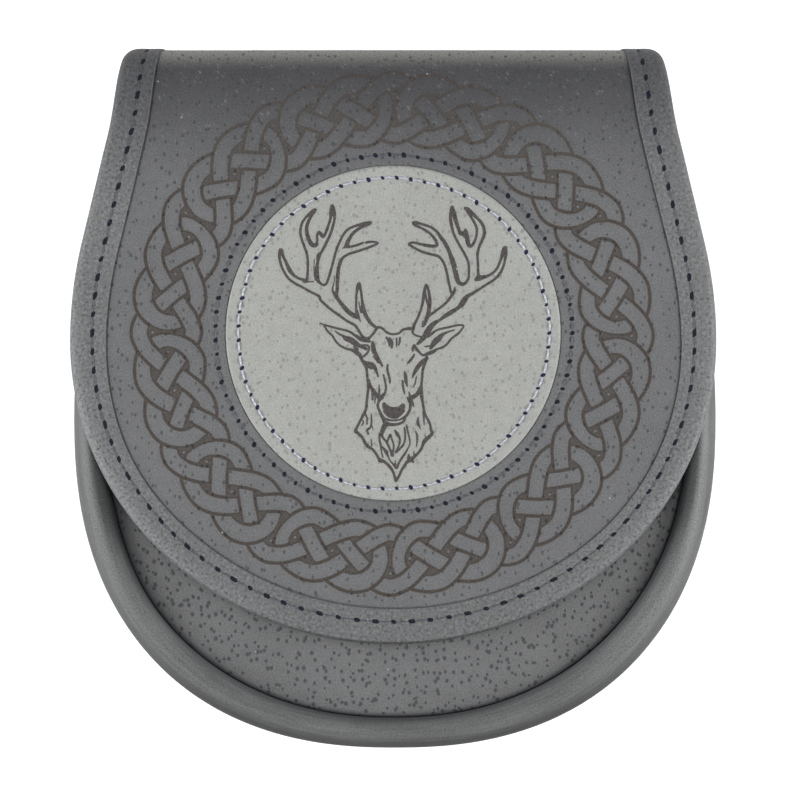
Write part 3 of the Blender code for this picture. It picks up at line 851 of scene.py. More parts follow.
def make_row(name, line, carry, holes, threads, **seen):
    """One row of stitches: its needle holes, and the threads between them."""
    make_holes(name + "_holes", line, carry, **holes, **seen)
    make_threads(name + "_threads", line, carry, **threads)


def stitch_rows(dark_hole, navy_hole, dark_thread, pale_thread):
    """Every row of stitches: its line of holes, then the sizes of its holes and threads."""
    edge = spaced(flap_line(BINDING_ROW), BINDING_PITCH)
    steep = np.abs(directions(edge)[:, 1])
    edge[:, 0] += BINDING_SWAY * np.sin(0.9 * np.arange(len(edge)))
    make_row("binding", edge, on_flap,
             dict(level=1.84, long=1.75 + 0.6 * steep, wide=1.35, slant=24.0, material=dark_hole),
             dict(level=1.74, thick=0.34, rise=0.06, material=dark_thread))
    ring = circle_line(DARK_ROW_RADIUS, DARK_ROW_STITCHES, sway=0.22)
    make_row("seat", np.column_stack([ring[:, 0], travel_seen_at(ring[:, 1])]), on_flap,
             dict(level=1.44, long=1.5, wide=1.1, slant=60.0, material=dark_hole),
             dict(level=1.40, thick=0.48, rise=0.05, material=dark_thread), closed=True)
    make_row("roundel", circle_line(PALE_ROW_RADIUS, PALE_ROW_STITCHES, sway=0.2), on_face,
             dict(level=ROUNDEL_TOP - 0.06, long=1.35, wide=0.9, slant=60.0, material=navy_hole),
             dict(level=ROUNDEL_TOP - 0.14, thick=0.46, rise=0.2, material=pale_thread, sideways=0.2),
             closed=True)
    hidden_hole = dict(long=1.9, wide=0.9, slant=14.0, material=dark_hole)
    rim = outline("body", BACK_TOP - BACK_ROW_DOWN, BACK_CORNER)
    make_row("back", spaced(inset(rim, BACK_ROW_IN), BACK_PITCH), on_back, dict(hidden_hole, level=0.03),
             dict(level=-0.05, thick=0.42, rise=0.08, material=dark_thread), below=True)
    tail = np.array([(-TAIL_ROW_HALF, TRAVEL_END - TAIL_ROW_IN), (TAIL_ROW_HALF, TRAVEL_END - TAIL_ROW_IN)])
    make_row("tail", spaced(tail, BACK_PITCH), on_flap, dict(hidden_hole, level=FLAP_HALF_THICK + 0.03),
             dict(level=FLAP_HALF_THICK, thick=0.5, rise=0.1, material=dark_thread), below=True)
    under = GAP + LOOP_THICK
    for side, x in (("left", -LOOP_X), ("right", LOOP_X)):
        for end, y in LOOP_ROWS.items():
            row = spaced(np.array([(x - LOOP_ROW_HALF, y), (x + LOOP_ROW_HALF, y)]), LOOP_PITCH)
            make_row(f"loop_{side}_{end}", row, on_back,
                     dict(level=under + 0.03, long=1.6, wide=0.8, slant=14.0, material=dark_hole),
                     dict(level=under, thick=0.5, rise=0.1, material=dark_thread), below=True)


# Engraving -------------------------------------------------------------------------------------------------

# One strand of the ring of knots, read round one closed loop: degrees, then its radius and its width in mm,
# and 1 where it passes over another or -1 where it passes under. The loop is repeated every 30 degrees.
LINE_WIDE = 1.08
LINE_DEPTH = 0.75
KNOT_LOOP = (
    (9.3, 70.1, 4.8, 0), (11.8, 69.7, 4.9, 0), (14.6, 67.8, 4.9, 1), (17.4, 64.8, 4.9, 0),
    (19.3, 62.5, 4.8, -1), (21.5, 60.2, 4.8, 0), (24.0, 58.0, 4.8, 0), (25.9, 56.6, 4.9, 1),
    (28.8, 55.4, 4.8, 0), (31.4, 55.9, 4.8, 0), (33.4, 57.5, 4.8, -1), (36.3, 59.5, 4.8, 0),
    (39.5, 62.5, 4.7, 1), (42.4, 65.3, 4.9, 0), (44.5, 67.6, 5.0, -1), (47.2, 69.3, 5.1, 0),
    (50.2, 70.0, 5.3, 0), (53.1, 69.3, 5.4, 0), (55.1, 67.6, 5.2, 1), (56.5, 65.2, 5.0, 0),
    (57.0, 62.5, 4.9, 0), (56.5, 59.5, 4.5, 0), (55.6, 57.3, 4.5, -1), (53.9, 55.8, 4.6, 0),
    (50.8, 55.0, 4.7, 0), (48.0, 55.5, 4.8, 0), (45.0, 57.1, 4.8, 1), (41.7, 59.9, 4.8, 0),
    (39.6, 62.2, 4.8, -1), (37.3, 64.6, 4.8, 0), (33.9, 68.1, 4.7, 1), (31.6, 69.6, 4.8, 0),
    (29.6, 70.2, 4.8, 0), (27.2, 69.5, 4.8, 0), (25.2, 67.6, 4.8, -1), (23.1, 65.3, 4.8, 0),
    (19.6, 62.0, 4.5, 1), (17.0, 59.6, 4.7, 0), (14.8, 57.6, 4.6, -1), (12.2, 55.9, 4.6, 0),
    (8.4, 55.0, 4.8, 0), (5.9, 55.5, 4.8, 0), (3.7, 57.2, 4.6, 1), (2.2, 59.7, 4.3, 0),
    (1.6, 62.5, 4.2, 0), (2.0, 65.4, 4.5, 0), (3.8, 68.0, 4.6, -1), (6.3, 69.5, 4.7, 0),
)
# Rows of the table where the loop is cut into arcs, so that it can cross itself.
KNOT_CUTS = (8, 20, 32, 44)
KNOT_STEPS = 6
KNOT_REPEATS = 12
KNOT_TURN = 360.0 / KNOT_REPEATS
KNOTS_X = -0.28
KNOTS_Y = 18.6
KNOTS_INNER = 51.6
KNOTS_OUTER = 73.6
# Spots of bare leather in the filled gaps: degrees and radius.
LIGHT_SPOTS = ((14.5, 62.5), (4.5, 62.6), (29.6, 66.6))
LIGHT_SPOT_RADIUS = 0.4
# The filled ground's signed distance right at a strand's edge, so that the fill meets the strand's line.
FILL_AT_STRAND = 0.3
# How far outside an engraving its mesh reaches, and the signed distance of what is far from any.
ENGRAVED_MARGIN = 0.3
FAR_OUTSIDE = -9.0
# The distance from an arc's strand where it is nearest to one of the arc's two ends.
PAST_END = 99.0
ENGRAVED_CELL = 0.27
ENGRAVED_OUT = 0.025


def knot_field(angle, radius):
    """Two signed distances on a polar grid, in mm: into a strand's line, and into the filled ground.

    A strand's two lines lie half its width from its middle. They are left out where another strand that is
    lifted higher covers them. Ground with strands both further in and further out is filled.
    """
    x = radius * np.cos(np.radians(angle))
    y = radius * np.sin(np.radians(angle))
    loop = spline(KNOT_LOOP, KNOT_STEPS, closed=True)
    marks = np.array([(KNOT_STEPS * i, row[3]) for i, row in enumerate(KNOT_LOOP) if row[3]])
    loop[:, 3] = np.interp(np.arange(len(loop)), marks[:, 0], marks[:, 1], period=len(loop))
    starts = [KNOT_STEPS * (cut - 2) for cut in KNOT_CUTS]
    ends = [KNOT_STEPS * (cut + 2) for cut in (*KNOT_CUTS[1:], KNOT_CUTS[0] + len(KNOT_LOOP))]
    arcs = [loop[np.arange(start, end) % len(loop)] for start, end in zip(starts, ends)]
    strands = []
    for arc in arcs:
        for parts in (-2, -1, 0, 1):
            turned = np.radians(arc[:, 0] + parts * KNOT_TURN)
            middle = np.column_stack([arc[:, 1] * np.cos(turned), arc[:, 1] * np.sin(turned)])
            away = np.hypot(x[..., None] - middle[:, 0], y[..., None] - middle[:, 1])
            nearest = away.argmin(axis=-1)
            distance = np.take_along_axis(away, nearest[..., None], axis=-1)[..., 0]
            distance[(nearest == 0) | (nearest == len(arc) - 1)] = PAST_END
            strands.append((distance - 0.5 * arc[nearest, 2], arc[nearest, 3]))
    outside = np.stack([s[0] for s in strands])
    lift = np.stack([s[1] for s in strands])
    line = 0.5 * LINE_WIDE - np.abs(outside)
    for i in range(len(strands)):
        for j in range(len(strands)):
            hidden = lift[j] > lift[i] + 0.1
            line[i] = np.where(hidden, np.minimum(line[i], outside[j]), line[i])
    nearest = outside.min(axis=0)
    covered = nearest < 0.0
    inner = np.maximum.accumulate(covered, axis=0)
    outer = np.maximum.accumulate(covered[::-1], axis=0)[::-1]
    gap = np.where(inner & outer & ~covered, nearest + FILL_AT_STRAND, FAR_OUTSIDE)
    for spot_angle, spot_radius in LIGHT_SPOTS:
        for parts in (0, -1, 1):
            at = np.radians(spot_angle + parts * KNOT_TURN)
            away = np.hypot(x - spot_radius * np.cos(at), y - spot_radius * np.sin(at))
            gap = np.minimum(gap, away - LIGHT_SPOT_RADIUS)
    return line.max(axis=0), gap


def kept_cells(field):
    """The point numbers that a grid's quads in or near a field use, and those quads over them."""
    quads = grid_quads(*field.shape)
    quads = quads[field.ravel()[quads].max(axis=1) > -ENGRAVED_MARGIN]
    used, numbers = np.unique(quads, return_inverse=True)
    return used, numbers.reshape(-1, 4)


def engraved_depth(line, gap):
    """0 on bare leather to 1 in a filled gap. A line is shallower. The edges of both are soft."""
    return np.maximum(LINE_DEPTH * ramp(line, -0.12, 0.34), ramp(gap, -0.12, 0.34))


def make_knots(material):
    """The ring of knots: one 30 degree part of it worked out on a polar grid, and turned twelve times.

    The points lie where they are seen from the front, a hair above the flap's face, on the same sheet.
    """
    radii = np.linspace(KNOTS_INNER, KNOTS_OUTER, round((KNOTS_OUTER - KNOTS_INNER) / ENGRAVED_CELL) + 1)
    middle = 0.5 * (KNOTS_INNER + KNOTS_OUTER)
    angles = np.linspace(0.0, KNOT_TURN, round(math.radians(KNOT_TURN) * middle / ENGRAVED_CELL) + 1)
    radius, angle = np.meshgrid(radii, angles, indexing="ij")
    line, gap = knot_field(angle, radius)
    used, quads = kept_cells(np.maximum(line, gap))
    depth = engraved_depth(line, gap).ravel()[used]
    radius, angle = radius.ravel()[used], angle.ravel()[used]
    turned = np.radians(angle[None] + KNOT_TURN * np.arange(KNOT_REPEATS)[:, None])
    x, y = KNOTS_X + radius * np.cos(turned), KNOTS_Y + radius * np.sin(turned)
    flat = np.column_stack([x.ravel(), travel_seen_at(y.ravel())])
    points = on_flap(flat, FLAP_HALF_THICK + ENGRAVED_OUT)
    quads = (np.arange(KNOT_REPEATS)[:, None, None] * len(used) + quads[None]).reshape(-1, 4)
    # Over the fold the engraving gets the same painted shade as the flap.
    values = {"engraved": np.tile(depth, KNOT_REPEATS), "stretch_and_shade": stretch_and_shade(flat[:, 1])}
    add_mesh("flap_engraving", points, material, quads, sheet=flat, values=values, closed=False,
             slot="pored_leather")


# The stag's head as drawn strokes. A row is x from the roundel's middle, y from its centre, and the
# stroke's width there, in the drawing's own unit.
STAG_UNIT = 0.278
STAG_STROKES = (
    # Left antler: the outer tine and the beam's lower edge.
    ((-114.8, 83, 4), (-115.8, 77, 3.4), (-113.7, 67, 3), (-110, 59.5, 3), (-105.5, 53.5, 3), (-99, 49, 3),
     (-93, 46, 2.8), (-86, 42, 2.8), (-80, 39, 2.8), (-76, 36.5, 3.4), (-74.5, 33, 3), (-71, 29.5, 3),
     (-66, 25, 3), (-60, 20.5, 3), (-54, 16.3, 3), (-48, 12, 3), (-41, 8.3, 3), (-38, 5, 3), (-35, 0, 3),
     (-32, -4, 3.6), (-28.5, -6, 4), (-25, -4, 3), (-21.5, 0, 3), (-18.5, 4.6, 3.5)),
    ((-114, 82.5, 4.6), (-112, 77, 3.4), (-108.5, 69.5, 3.6), (-105.5, 63, 4.6), (-101.5, 58, 3.6),
     (-97, 55, 3), (-92.5, 53.5, 3.4), (-89.2, 52.2, 4.4), (-87.8, 57, 3.2), (-87.3, 65, 3),
     (-87.3, 72, 3), (-88.5, 80, 3), (-91, 87, 3), (-93.5, 94, 3), (-94.8, 101, 3), (-94, 107, 3),
     (-92, 112, 3), (-88.5, 116.6, 3), (-85, 119.5, 4), (-81, 122.5, 4.6), (-79.8, 123.2, 3.6)),
    ((-80.6, 122, 4), (-84, 117, 3.4), (-87, 111, 3.8), (-88.5, 105, 4), (-88, 99, 4.4), (-86, 93, 4.6),
     (-83.5, 88.8, 5), (-81, 87.7, 5), (-79, 88.4, 4), (-78, 92, 3), (-78, 98, 3), (-76.4, 101.3, 2.6),
     (-74.5, 99.3, 4), (-72.3, 96.8, 4), (-70.5, 98, 3.4), (-68.5, 103, 3.4), (-66, 110, 3),
     (-64.5, 116, 3.4), (-63.5, 122, 5.4), (-63, 127, 4.2)),
    ((-62.3, 126, 4), (-60.8, 120, 3.8), (-60.8, 113, 3), (-62.5, 106, 3.2), (-64.8, 99, 3.2),
     (-68, 92, 3.4), (-71.5, 85, 3.4), (-74.5, 80, 3.4), (-76.4, 77.5, 5), (-77.3, 72, 3.4),
     (-78.2, 65, 4.4), (-78.2, 58, 4.8), (-77.3, 53, 4.4), (-75, 50, 3), (-71.5, 48, 3), (-68.7, 49.7, 3),
     (-66.5, 55, 3), (-64.5, 62, 3), (-62.3, 70, 3), (-60.5, 77, 3), (-58.5, 84, 3), (-55.5, 91, 3),
     (-52, 98, 3), (-47.5, 103.5, 3), (-41.5, 106.5, 3), (-35.5, 108.5, 3), (-30, 110, 3.4),
     (-24.6, 110.4, 3.4)),
    ((-24.6, 109.8, 3.2), (-28.5, 108.2, 4), (-33, 106.5, 4), (-38, 103.3, 3.6), (-43, 98.7, 3.8),
     (-46, 94, 4.2), (-48, 89.5, 5), (-48.4, 86.8, 4.4), (-44, 86.6, 3), (-38, 88, 3), (-32.2, 90.2, 2.8)),
    ((-29, 90.5, 3), (-25, 91.3, 2.8), (-20, 91, 2.6), (-17.4, 89.8, 2.4), (-21, 87.8, 2.8),
     (-27, 85.5, 3), (-34, 83, 3), (-42, 80.5, 3), (-48, 78.3, 3), (-52.5, 75, 3.4), (-55, 70.5, 4),
     (-56.5, 65, 4), (-57.4, 58, 4.4), (-57.8, 50, 4), (-58, 44, 3.8), (-58.6, 38, 4), (-56.5, 33, 4),
     (-53.5, 29, 4.4), (-50, 24.7, 4.8), (-45.5, 20.3, 5), (-41.5, 17.7, 5), (-38.5, 16.3, 4.4),
     (-36, 14.5, 2.8), (-34.8, 11.5, 1.4)),
    ((-48.4, 86.5, 3), (-52.5, 85, 1.6)),
    ((-60.8, 57, 1.4), (-61.2, 50, 1.6), (-62.7, 44.5, 2.2), (-61.4, 40, 3), (-58.8, 35.5, 4)),
    ((-80.8, 74, 1.3), (-81.2, 66, 1.5), (-80.8, 58, 1.7), (-79.8, 53, 1.5)),
    ((-90.5, 50.8, 2), (-86, 51.4, 1.8), (-81.5, 51.5, 1.6)),
    # Left brow tine.
    ((-38.7, 17, 3), (-39, 24, 2.8), (-39, 32, 2.8), (-38.5, 40, 3), (-37.4, 46, 4), (-36.2, 49.6, 3.4),
     (-35.2, 47, 3.4), (-34.2, 42, 3), (-33.4, 36, 3), (-32.8, 31, 3.4), (-31.8, 25, 4.4), (-30, 19, 4.4),
     (-27.5, 14.5, 4.2), (-24.5, 10, 4), (-21, 7, 3.4), (-18.5, 5, 3.4)),
    ((-36.2, 31, 1.6), (-35.2, 26, 2), (-33.6, 21.5, 4)),
    ((-37.6, 22, 2), (-36.2, 17, 2), (-34.9, 12, 1.4)),
    # Right antler: the outer tine and the beam's lower edge.
    ((110.6, 85.5, 3.6), (110.6, 79, 4), (109.6, 72, 3), (107.5, 65, 3), (104, 58.5, 3.4), (99, 53.5, 3),
     (92, 49, 3), (85, 44.5, 3), (78, 40, 3.6), (73, 37.3, 4.4), (69.6, 33.5, 6), (66.6, 29, 6),
     (62.6, 25, 4), (57, 21.4, 5), (50, 17, 4.4), (44, 12.7, 3.2), (39.5, 10, 4.6), (36, 6.7, 6),
     (32.5, 1.8, 6.4), (29, -4, 5.4), (25.5, -8, 4.4), (22.5, -10.8, 3.2)),
    ((109.4, 85, 4.4), (107.5, 80, 4.2), (105.5, 73, 3.2), (102, 65, 3), (97.5, 60, 3), (92, 57, 3.4),
     (87.5, 55.7, 4.6), (84, 55, 6), (80.5, 53.4, 3.4)),
    ((84, 55, 5), (83, 60, 3.4), (82.8, 68, 3.2), (82.4, 76, 3), (82.5, 80, 3.4), (84, 86, 3.2),
     (86.5, 92, 3.6), (89, 98, 3.8), (89, 104, 3.6), (86.5, 110, 3.6), (82, 115, 3.4), (77, 119.5, 4.4),
     (73, 123, 5.2), (70.2, 124.8, 3.6)),
    ((72.5, 122, 4), (75.3, 117, 3), (79, 111, 3), (81.5, 105, 3), (81.5, 99, 3), (80, 93, 3),
     (77.5, 88.4, 3.8), (75, 86.6, 3.4), (73.2, 89, 4.6), (72.2, 94, 5), (71.2, 99, 5), (70.2, 103, 3.6)),
    ((70.6, 96, 4), (68, 99.4, 5), (65.8, 99.6, 4.6), (64.3, 102, 4), (62.5, 107, 4), (60.5, 113, 4.6),
     (59, 119, 5), (57.5, 124, 4.4), (56.8, 126.2, 3.2), (55.6, 122, 3), (55.3, 115, 3.6),
     (56.4, 108, 3.6), (58, 101, 3), (60.5, 95, 3), (64, 88.5, 3), (67.5, 82.5, 3), (71, 76, 3),
     (73.3, 70, 3), (73.8, 63, 3), (73.5, 56, 3), (71.5, 51.4, 3.4), (68, 48.9, 3.8), (64, 50.3, 4.6),
     (62, 54, 5.4), (60.5, 60, 5.4), (59, 67, 5.6), (57, 73, 5.6), (55, 79, 4.4), (52.5, 85, 4.4),
     (49.5, 90.5, 4.4), (45.5, 96, 4), (42, 101, 3.2), (37, 105.3, 3), (31, 107.6, 3), (25, 109.5, 3),
     (20, 110.8, 3.4), (18.2, 110, 3.6), (20, 108.2, 3.6), (25, 105.6, 3), (30, 103, 3), (35, 99.5, 3),
     (39, 95, 3.4), (41.5, 90.5, 3.4), (41.6, 87.8, 3.4), (38, 86.8, 3.8), (32, 87.6, 3.8), (26, 88.8, 3),
     (20, 90.3, 2.8), (15.5, 90.2, 2.8), (14, 88.5, 3), (18, 86, 2.8), (24, 82.6, 3), (30, 80.4, 3),
     (37, 78.6, 3), (43, 77, 3), (46.5, 73.5, 3), (49.5, 68, 3), (51.5, 61, 3), (53, 54, 3), (54.5, 47, 3),
     (55.6, 42, 3), (56.8, 39.5, 3.6)),
    ((59.7, 45.5, 2), (58.8, 41, 3.8), (56, 36.8, 3.4), (52.5, 32, 3.2), (48, 27.7, 3), (43, 24, 3),
     (38, 20.2, 3), (34, 17.6, 3.6)),
    # Right brow tine.
    ((18.2, 5, 4), (19.5, 9, 3.4), (22, 14, 3), (24.5, 20, 3), (26.5, 26, 3), (27.8, 32, 3.4),
     (28.8, 39, 3.6), (30, 45, 3.6), (31.3, 47.8, 3.4), (32.6, 45, 3.4), (34, 39, 3.2), (34.7, 32, 4),
     (34, 26, 4.6), (33.3, 20, 4.6), (31.4, 14, 4.4), (29.5, 9, 3.4), (28.2, 6.5, 2)),
    ((30.6, 41, 1.6), (31, 35, 2.4), (32.8, 29, 3)),
    ((27.7, 12, 1.8), (26.6, 6, 1.4)),
    ((18, 4, 3.4), (17.6, 0.5, 2.8), (20, -2, 2.4), (24, -3.4, 2.4), (27, -4, 2.4)),
    # The top of the head and the marks on the forehead.
    ((-18.5, 4.8, 3.4), (-15.3, 5.8, 2.8), (-12, 4, 2.8), (-8.5, 0.8, 2.8), (-4, -1, 2.6), (0, -1, 2.6),
     (4, 0, 2.6), (7.5, 3.2, 3), (11, 4.2, 3), (15, 4.4, 3.6), (18, 4.2, 3.6)),
    ((-8.6, -4.6, 2.6), (-6.6, -8, 2.6), (-5.6, -13, 2)),
    ((-5.4, -5.4, 3), (-3.4, -10, 4), (-3.4, -14.6, 2.6)),
    ((1.4, -5.6, 2.4), (1.6, -10, 2.4), (1.3, -13.6, 1.8)),
    ((4.8, -4.8, 2.6), (4.4, -9, 2.6), (3.6, -12.2, 1.8)),
    # Left ear.
    ((-75.6, 10, 1.4), (-70, 8, 2.2), (-63, 6, 2.4), (-55, 4, 2.6), (-47, 2, 2.8), (-41.5, -1.3, 3),
     (-37, -4.5, 3.8), (-33, -6.6, 4.4), (-29, -7.6, 4), (-25.5, -8.4, 3)),
    ((-71, 7, 2.2), (-67, 1.3, 2.6), (-62.5, -3, 2.6), (-59.5, -8, 2.6), (-55, -12.5, 2.6),
     (-49, -15.5, 2.6), (-43, -17, 3.4), (-39, -19.2, 4.6), (-35.4, -22, 4.6), (-33.6, -25.5, 4)),
    ((-60.5, 2.3, 1.4), (-57, -0.3, 2.4), (-52.5, -2.8, 2.8), (-48.8, -5.5, 5.4), (-44.5, -7, 6.4),
     (-40, -10, 6), (-36, -12.5, 4.6), (-32.5, -14, 4), (-29, -15.8, 3.6)),
    ((-41.5, -13.6, 2), (-38, -16.6, 4)),
    ((-32, -11.6, 1.8), (-27, -12.6, 2.2), (-26, -16, 2.4), (-28, -20, 2.6), (-31, -23, 3)),
    # Right ear.
    ((33, -3.4, 3), (36.5, -0.7, 3.4), (41, 2.5, 2.6), (47, 4.5, 2.6), (54, 6, 2.5), (61, 7.6, 2.5),
     (66, 8, 2.5), (68.4, 6.8, 2.4), (65, 1.5, 2.6), (61, -2, 2.8), (56, -6, 2.8), (52, -10.8, 2.8),
     (47, -14.5, 2.8), (42, -16, 2.6), (38.4, -18.4, 4.2), (34, -20.2, 4.2), (29, -22, 3)),
    ((59, 3, 1.8), (52, 0.8, 2.4), (47, -1.8, 4.2), (44, -5, 6), (40.5, -8, 6.4), (37.5, -12, 5),
     (35.4, -15.4, 3)),
    ((30, -13.4, 2), (36, -13, 2.2)),
    # Temples and brows.
    ((-22.6, -9, 2.8), (-22, -13, 5), (-21.2, -18, 5.2), (-18.5, -22.5, 4), (-16.3, -26.5, 3.6),
     (-14.2, -30.5, 3), (-13, -32.8, 2.8)),
    ((-21.6, -23.4, 2), (-18.8, -26.4, 2.6), (-16.8, -29.6, 2.4)),
    ((19, -12.6, 3.6), (21.4, -16, 3.6), (24.4, -19.4, 2.8), (27.8, -22.6, 2.4)),
    ((17.6, -14, 2.6), (17.6, -17.6, 2.6)),
    ((19, -21.6, 2.4), (17, -25, 3), (14.6, -28, 3.2), (12.8, -29.8, 2.6)),
    # Eyes.
    ((-31, -28.8, 3.2), (-27, -30.4, 4.4), (-22.6, -31.4, 4.4), (-20.2, -35, 4.2), (-18.4, -39.4, 3),
     (-17, -43.4, 2.2)),
    ((-27, -33.6, 3), (-23.4, -35, 3.4)),
    ((32, -25, 3.6), (28.6, -28, 5), (25, -31, 4.8), (22.4, -34.4, 5), (20, -38.4, 4.2), (18, -42.4, 2.8),
     (17.4, -44.6, 1.8)),
    # The face's left side, and on round the neck to its point.
    ((-33.4, -26.6, 3.6), (-30.4, -31, 3.8), (-28.6, -36, 3.2), (-28, -43, 3), (-27.2, -49, 3.2),
     (-27, -55, 3.2), (-27.6, -62, 3), (-28.6, -70, 3), (-29.2, -76, 3.4), (-32, -82, 3.4),
     (-35.5, -89, 3), (-38.3, -94.6, 3.2), (-39.4, -98.2, 4.2), (-36, -101, 3.4), (-32.5, -105, 3.4),
     (-30, -110, 3.8), (-27, -113.5, 3.8), (-23, -116, 3), (-19.5, -120, 3), (-17, -124.5, 3),
     (-14.8, -127.4, 4.6), (-11.5, -128.4, 3.6), (-7.5, -131.5, 3.4), (-4, -135.5, 3.4), (-1.5, -140, 3),
     (-0.2, -144.6, 3.2), (0.8, -147.6, 3.6), (2.6, -145, 3.2), (4.8, -141, 3), (6.8, -136.5, 3),
     (9.4, -132.5, 3.2), (12, -128.8, 3.8), (15.6, -126.6, 5), (19.4, -123.5, 3.4), (23, -120, 3.2),
     (26, -116, 3.2), (28, -111, 3.6), (30, -107.4, 4.8), (33.5, -104.2, 4.2), (37, -100.4, 4),
     (36, -97, 3.2), (35, -92, 3), (33, -87, 3), (30.2, -82, 3), (28.6, -76, 3), (27.6, -70, 3),
     (26.6, -64, 4), (26.2, -58, 4), (26.2, -52, 3.2), (26.9, -45, 3), (27.6, -37, 3.2), (29.6, -30, 3.8),
     (31.4, -24.6, 3.8)),
    ((16.6, -127, 4), (18.4, -129.4, 2)),
    ((13.4, -121.8, 2.2), (13.8, -125, 4.4)),
    ((18.6, -118.4, 1.6), (19, -122, 2)),
    ((30, -102.4, 1.6), (31, -105, 2)),
    ((-24, -106.4, 1.6), (-23.4, -112.4, 2.2)),
    # Cheeks.
    ((-26, -47, 2.2), (-24.6, -53, 3.4), (-21.6, -58, 4.6), (-18.4, -62.4, 5), (-15, -64.6, 5),
     (-12.4, -62.6, 4.4), (-10.4, -60.4, 3)),
    ((-11.6, -42, 2.2), (-10.2, -48, 2.5), (-9.2, -54, 2.7), (-10, -60, 2.8)),
    ((-7.5, -32, 2.6), (-7.8, -37, 2.9), (-6.5, -42, 2.9), (-5.2, -47.6, 2.6), (-5.5, -50.6, 1.4)),
    ((-16, -52, 1.6), (-16, -58, 2.4), (-16, -63, 2.8)),
    ((-22.6, -59, 3), (-22.6, -66.4, 2.4)),
    ((-19.8, -63, 2.4), (-20.4, -70, 1.6)),
    ((9.4, -38.6, 2), (10.4, -43, 4), (11, -48.6, 3.6), (12, -53, 2)),
    ((7.4, -48, 2.8), (8, -54, 2.8), (9.4, -60.6, 2)),
    ((21.2, -43.6, 1.8), (20, -50, 2), (18.4, -54, 1.6)),
    ((25, -54, 2.8), (22.8, -60, 4.6), (19.4, -63.2, 4.6), (15.4, -65.6, 5), (17, -69.6, 3.4),
     (18.6, -73.4, 1.8)),
    ((14, -59.4, 2), (15, -64, 3)),
    # Nose, muzzle and mouth.
    ((-11, -71.4, 4.6), (-9.4, -74.6, 6.4), (-5, -77.4, 8), (0, -78.4, 9.4), (4.6, -77, 8),
     (7.8, -72.6, 5)),
    ((-10, -78, 4.6), (-5.6, -81.6, 6), (0, -82.6, 7), (3.4, -81.4, 5.4), (7.4, -77.6, 5.4)),
    ((-12.6, -65, 2.8), (-16.2, -68, 3), (-17.3, -73, 3), (-15.6, -78, 3.2), (-13.2, -83, 4),
     (-11.2, -87, 4.2), (-9.8, -90, 4.6), (-5, -91.4, 3.8), (0, -91.5, 3.4), (5, -90.4, 3), (8.8, -88, 3),
     (10, -84, 3.2), (12.5, -81, 3.2), (14.8, -76, 3.2), (15, -70, 3.2), (12.8, -65, 3.4)),
    ((-11, -85, 2.6), (-6, -87, 2.4), (0, -87.4, 2.2), (5, -86.4, 2.2), (9, -84.4, 2.8)),
    # Beard.
    ((-10, -92, 5.4), (-12, -96, 5.4), (-13.4, -101, 4), (-12, -105, 2.6), (-9, -108.4, 2.8),
     (-6.6, -113, 2.8), (-4.4, -118, 2.8), (-2.8, -122, 4.2)),
    ((-15.6, -100, 2.2), (-15.6, -107, 2.6), (-14.2, -113, 2.8), (-13.6, -119, 2), (-12.2, -124.4, 1.8)),
    ((-7.6, -108, 2.6), (-5, -101.6, 2.4), (-3.4, -106, 2.4), (-1.6, -111, 2.3), (-1.6, -116, 2.5),
     (-3, -121, 3)),
    ((0, -97.4, 2.2), (2, -101, 4), (4.4, -105, 2.8), (4.5, -110, 2.4), (2.6, -115, 2.4), (0, -119, 1.8)),
    ((9.4, -94.6, 2.4), (10, -101, 2.6), (9.8, -107, 2.4), (8, -112, 2.6), (4, -116.5, 2.6),
     (0.5, -120, 1.8)),
    ((11.4, -92, 2), (12.6, -98, 2.4), (14, -104, 2.2), (14.8, -110, 2), (13, -115, 2), (9.5, -121, 2.8),
     (6, -126, 2.8), (3.2, -131, 2.8), (2, -134.6, 3)),
    ((-12.4, -114, 2), (-9, -119, 4), (-7.2, -123, 2.3), (-5, -127.6, 1.9), (-2, -131, 2.6),
     (1, -134.6, 3.4)),
    ((0, -127.6, 1.4), (0.5, -132, 2.2)),
    # Hair on the neck.
    ((-30, -80.4, 2.4), (-28.2, -85, 2.2), (-28.2, -91, 2)),
    ((-32.4, -87, 1.4), (-31.8, -89.6, 2.2), (-33.6, -92.6, 1.6)),
    ((-24, -81, 1.6), (-23.6, -88, 2.3), (-24.6, -94, 2.6), (-28, -97, 3), (-27, -101, 2.4)),
    ((-23, -93, 1.6), (-22, -97, 1.2)),
    ((23, -84.6, 2), (22.8, -90, 3.6), (25.2, -95.4, 1.6)),
    ((27.6, -78, 1.4), (28.6, -85, 2.2), (29, -91.6, 1.6)),
    ((20.6, -98.4, 1.6), (22, -103, 2.8), (22, -109, 2.2), (21, -114, 1.4)),
)
# How far aside the drawing lies, the grid that it is worked out on, and then for the strokes: how much
# thinner they come out, the pitch of the points along them, and how far round them the grid is looked at.
STAG_X = 0.55
STAG_HALF_WIDE = 35.0
STAG_BOTTOM = -43.0
STAG_TOP = 37.0
STAG_CELL = 0.18
STROKE_THINNER = 0.07
STROKE_PITCH = 0.15
STROKE_REACH = 1.5


def stroke_field(strokes, x, y):
    """Signed distance into any stroke: half its width less the distance, the largest over points along it."""
    field = np.full(x.shape, FAR_OUTSIDE)
    for stroke in strokes:
        line = spaced(spline(np.array(stroke) * STAG_UNIT, 10), STROKE_PITCH)
        low = line[:, :2].min(axis=0) - STROKE_REACH
        high = line[:, :2].max(axis=0) + STROKE_REACH
        near = (x > low[0]) & (x < high[0]) & (y > low[1]) & (y < high[1])
        away = np.hypot(x[near][:, None] - line[:, 0], y[near][:, None] - line[:, 1])
        field[near] = np.maximum(field[near], (0.5 * line[:, 2] - STROKE_THINNER - away).max(axis=1))
    return field


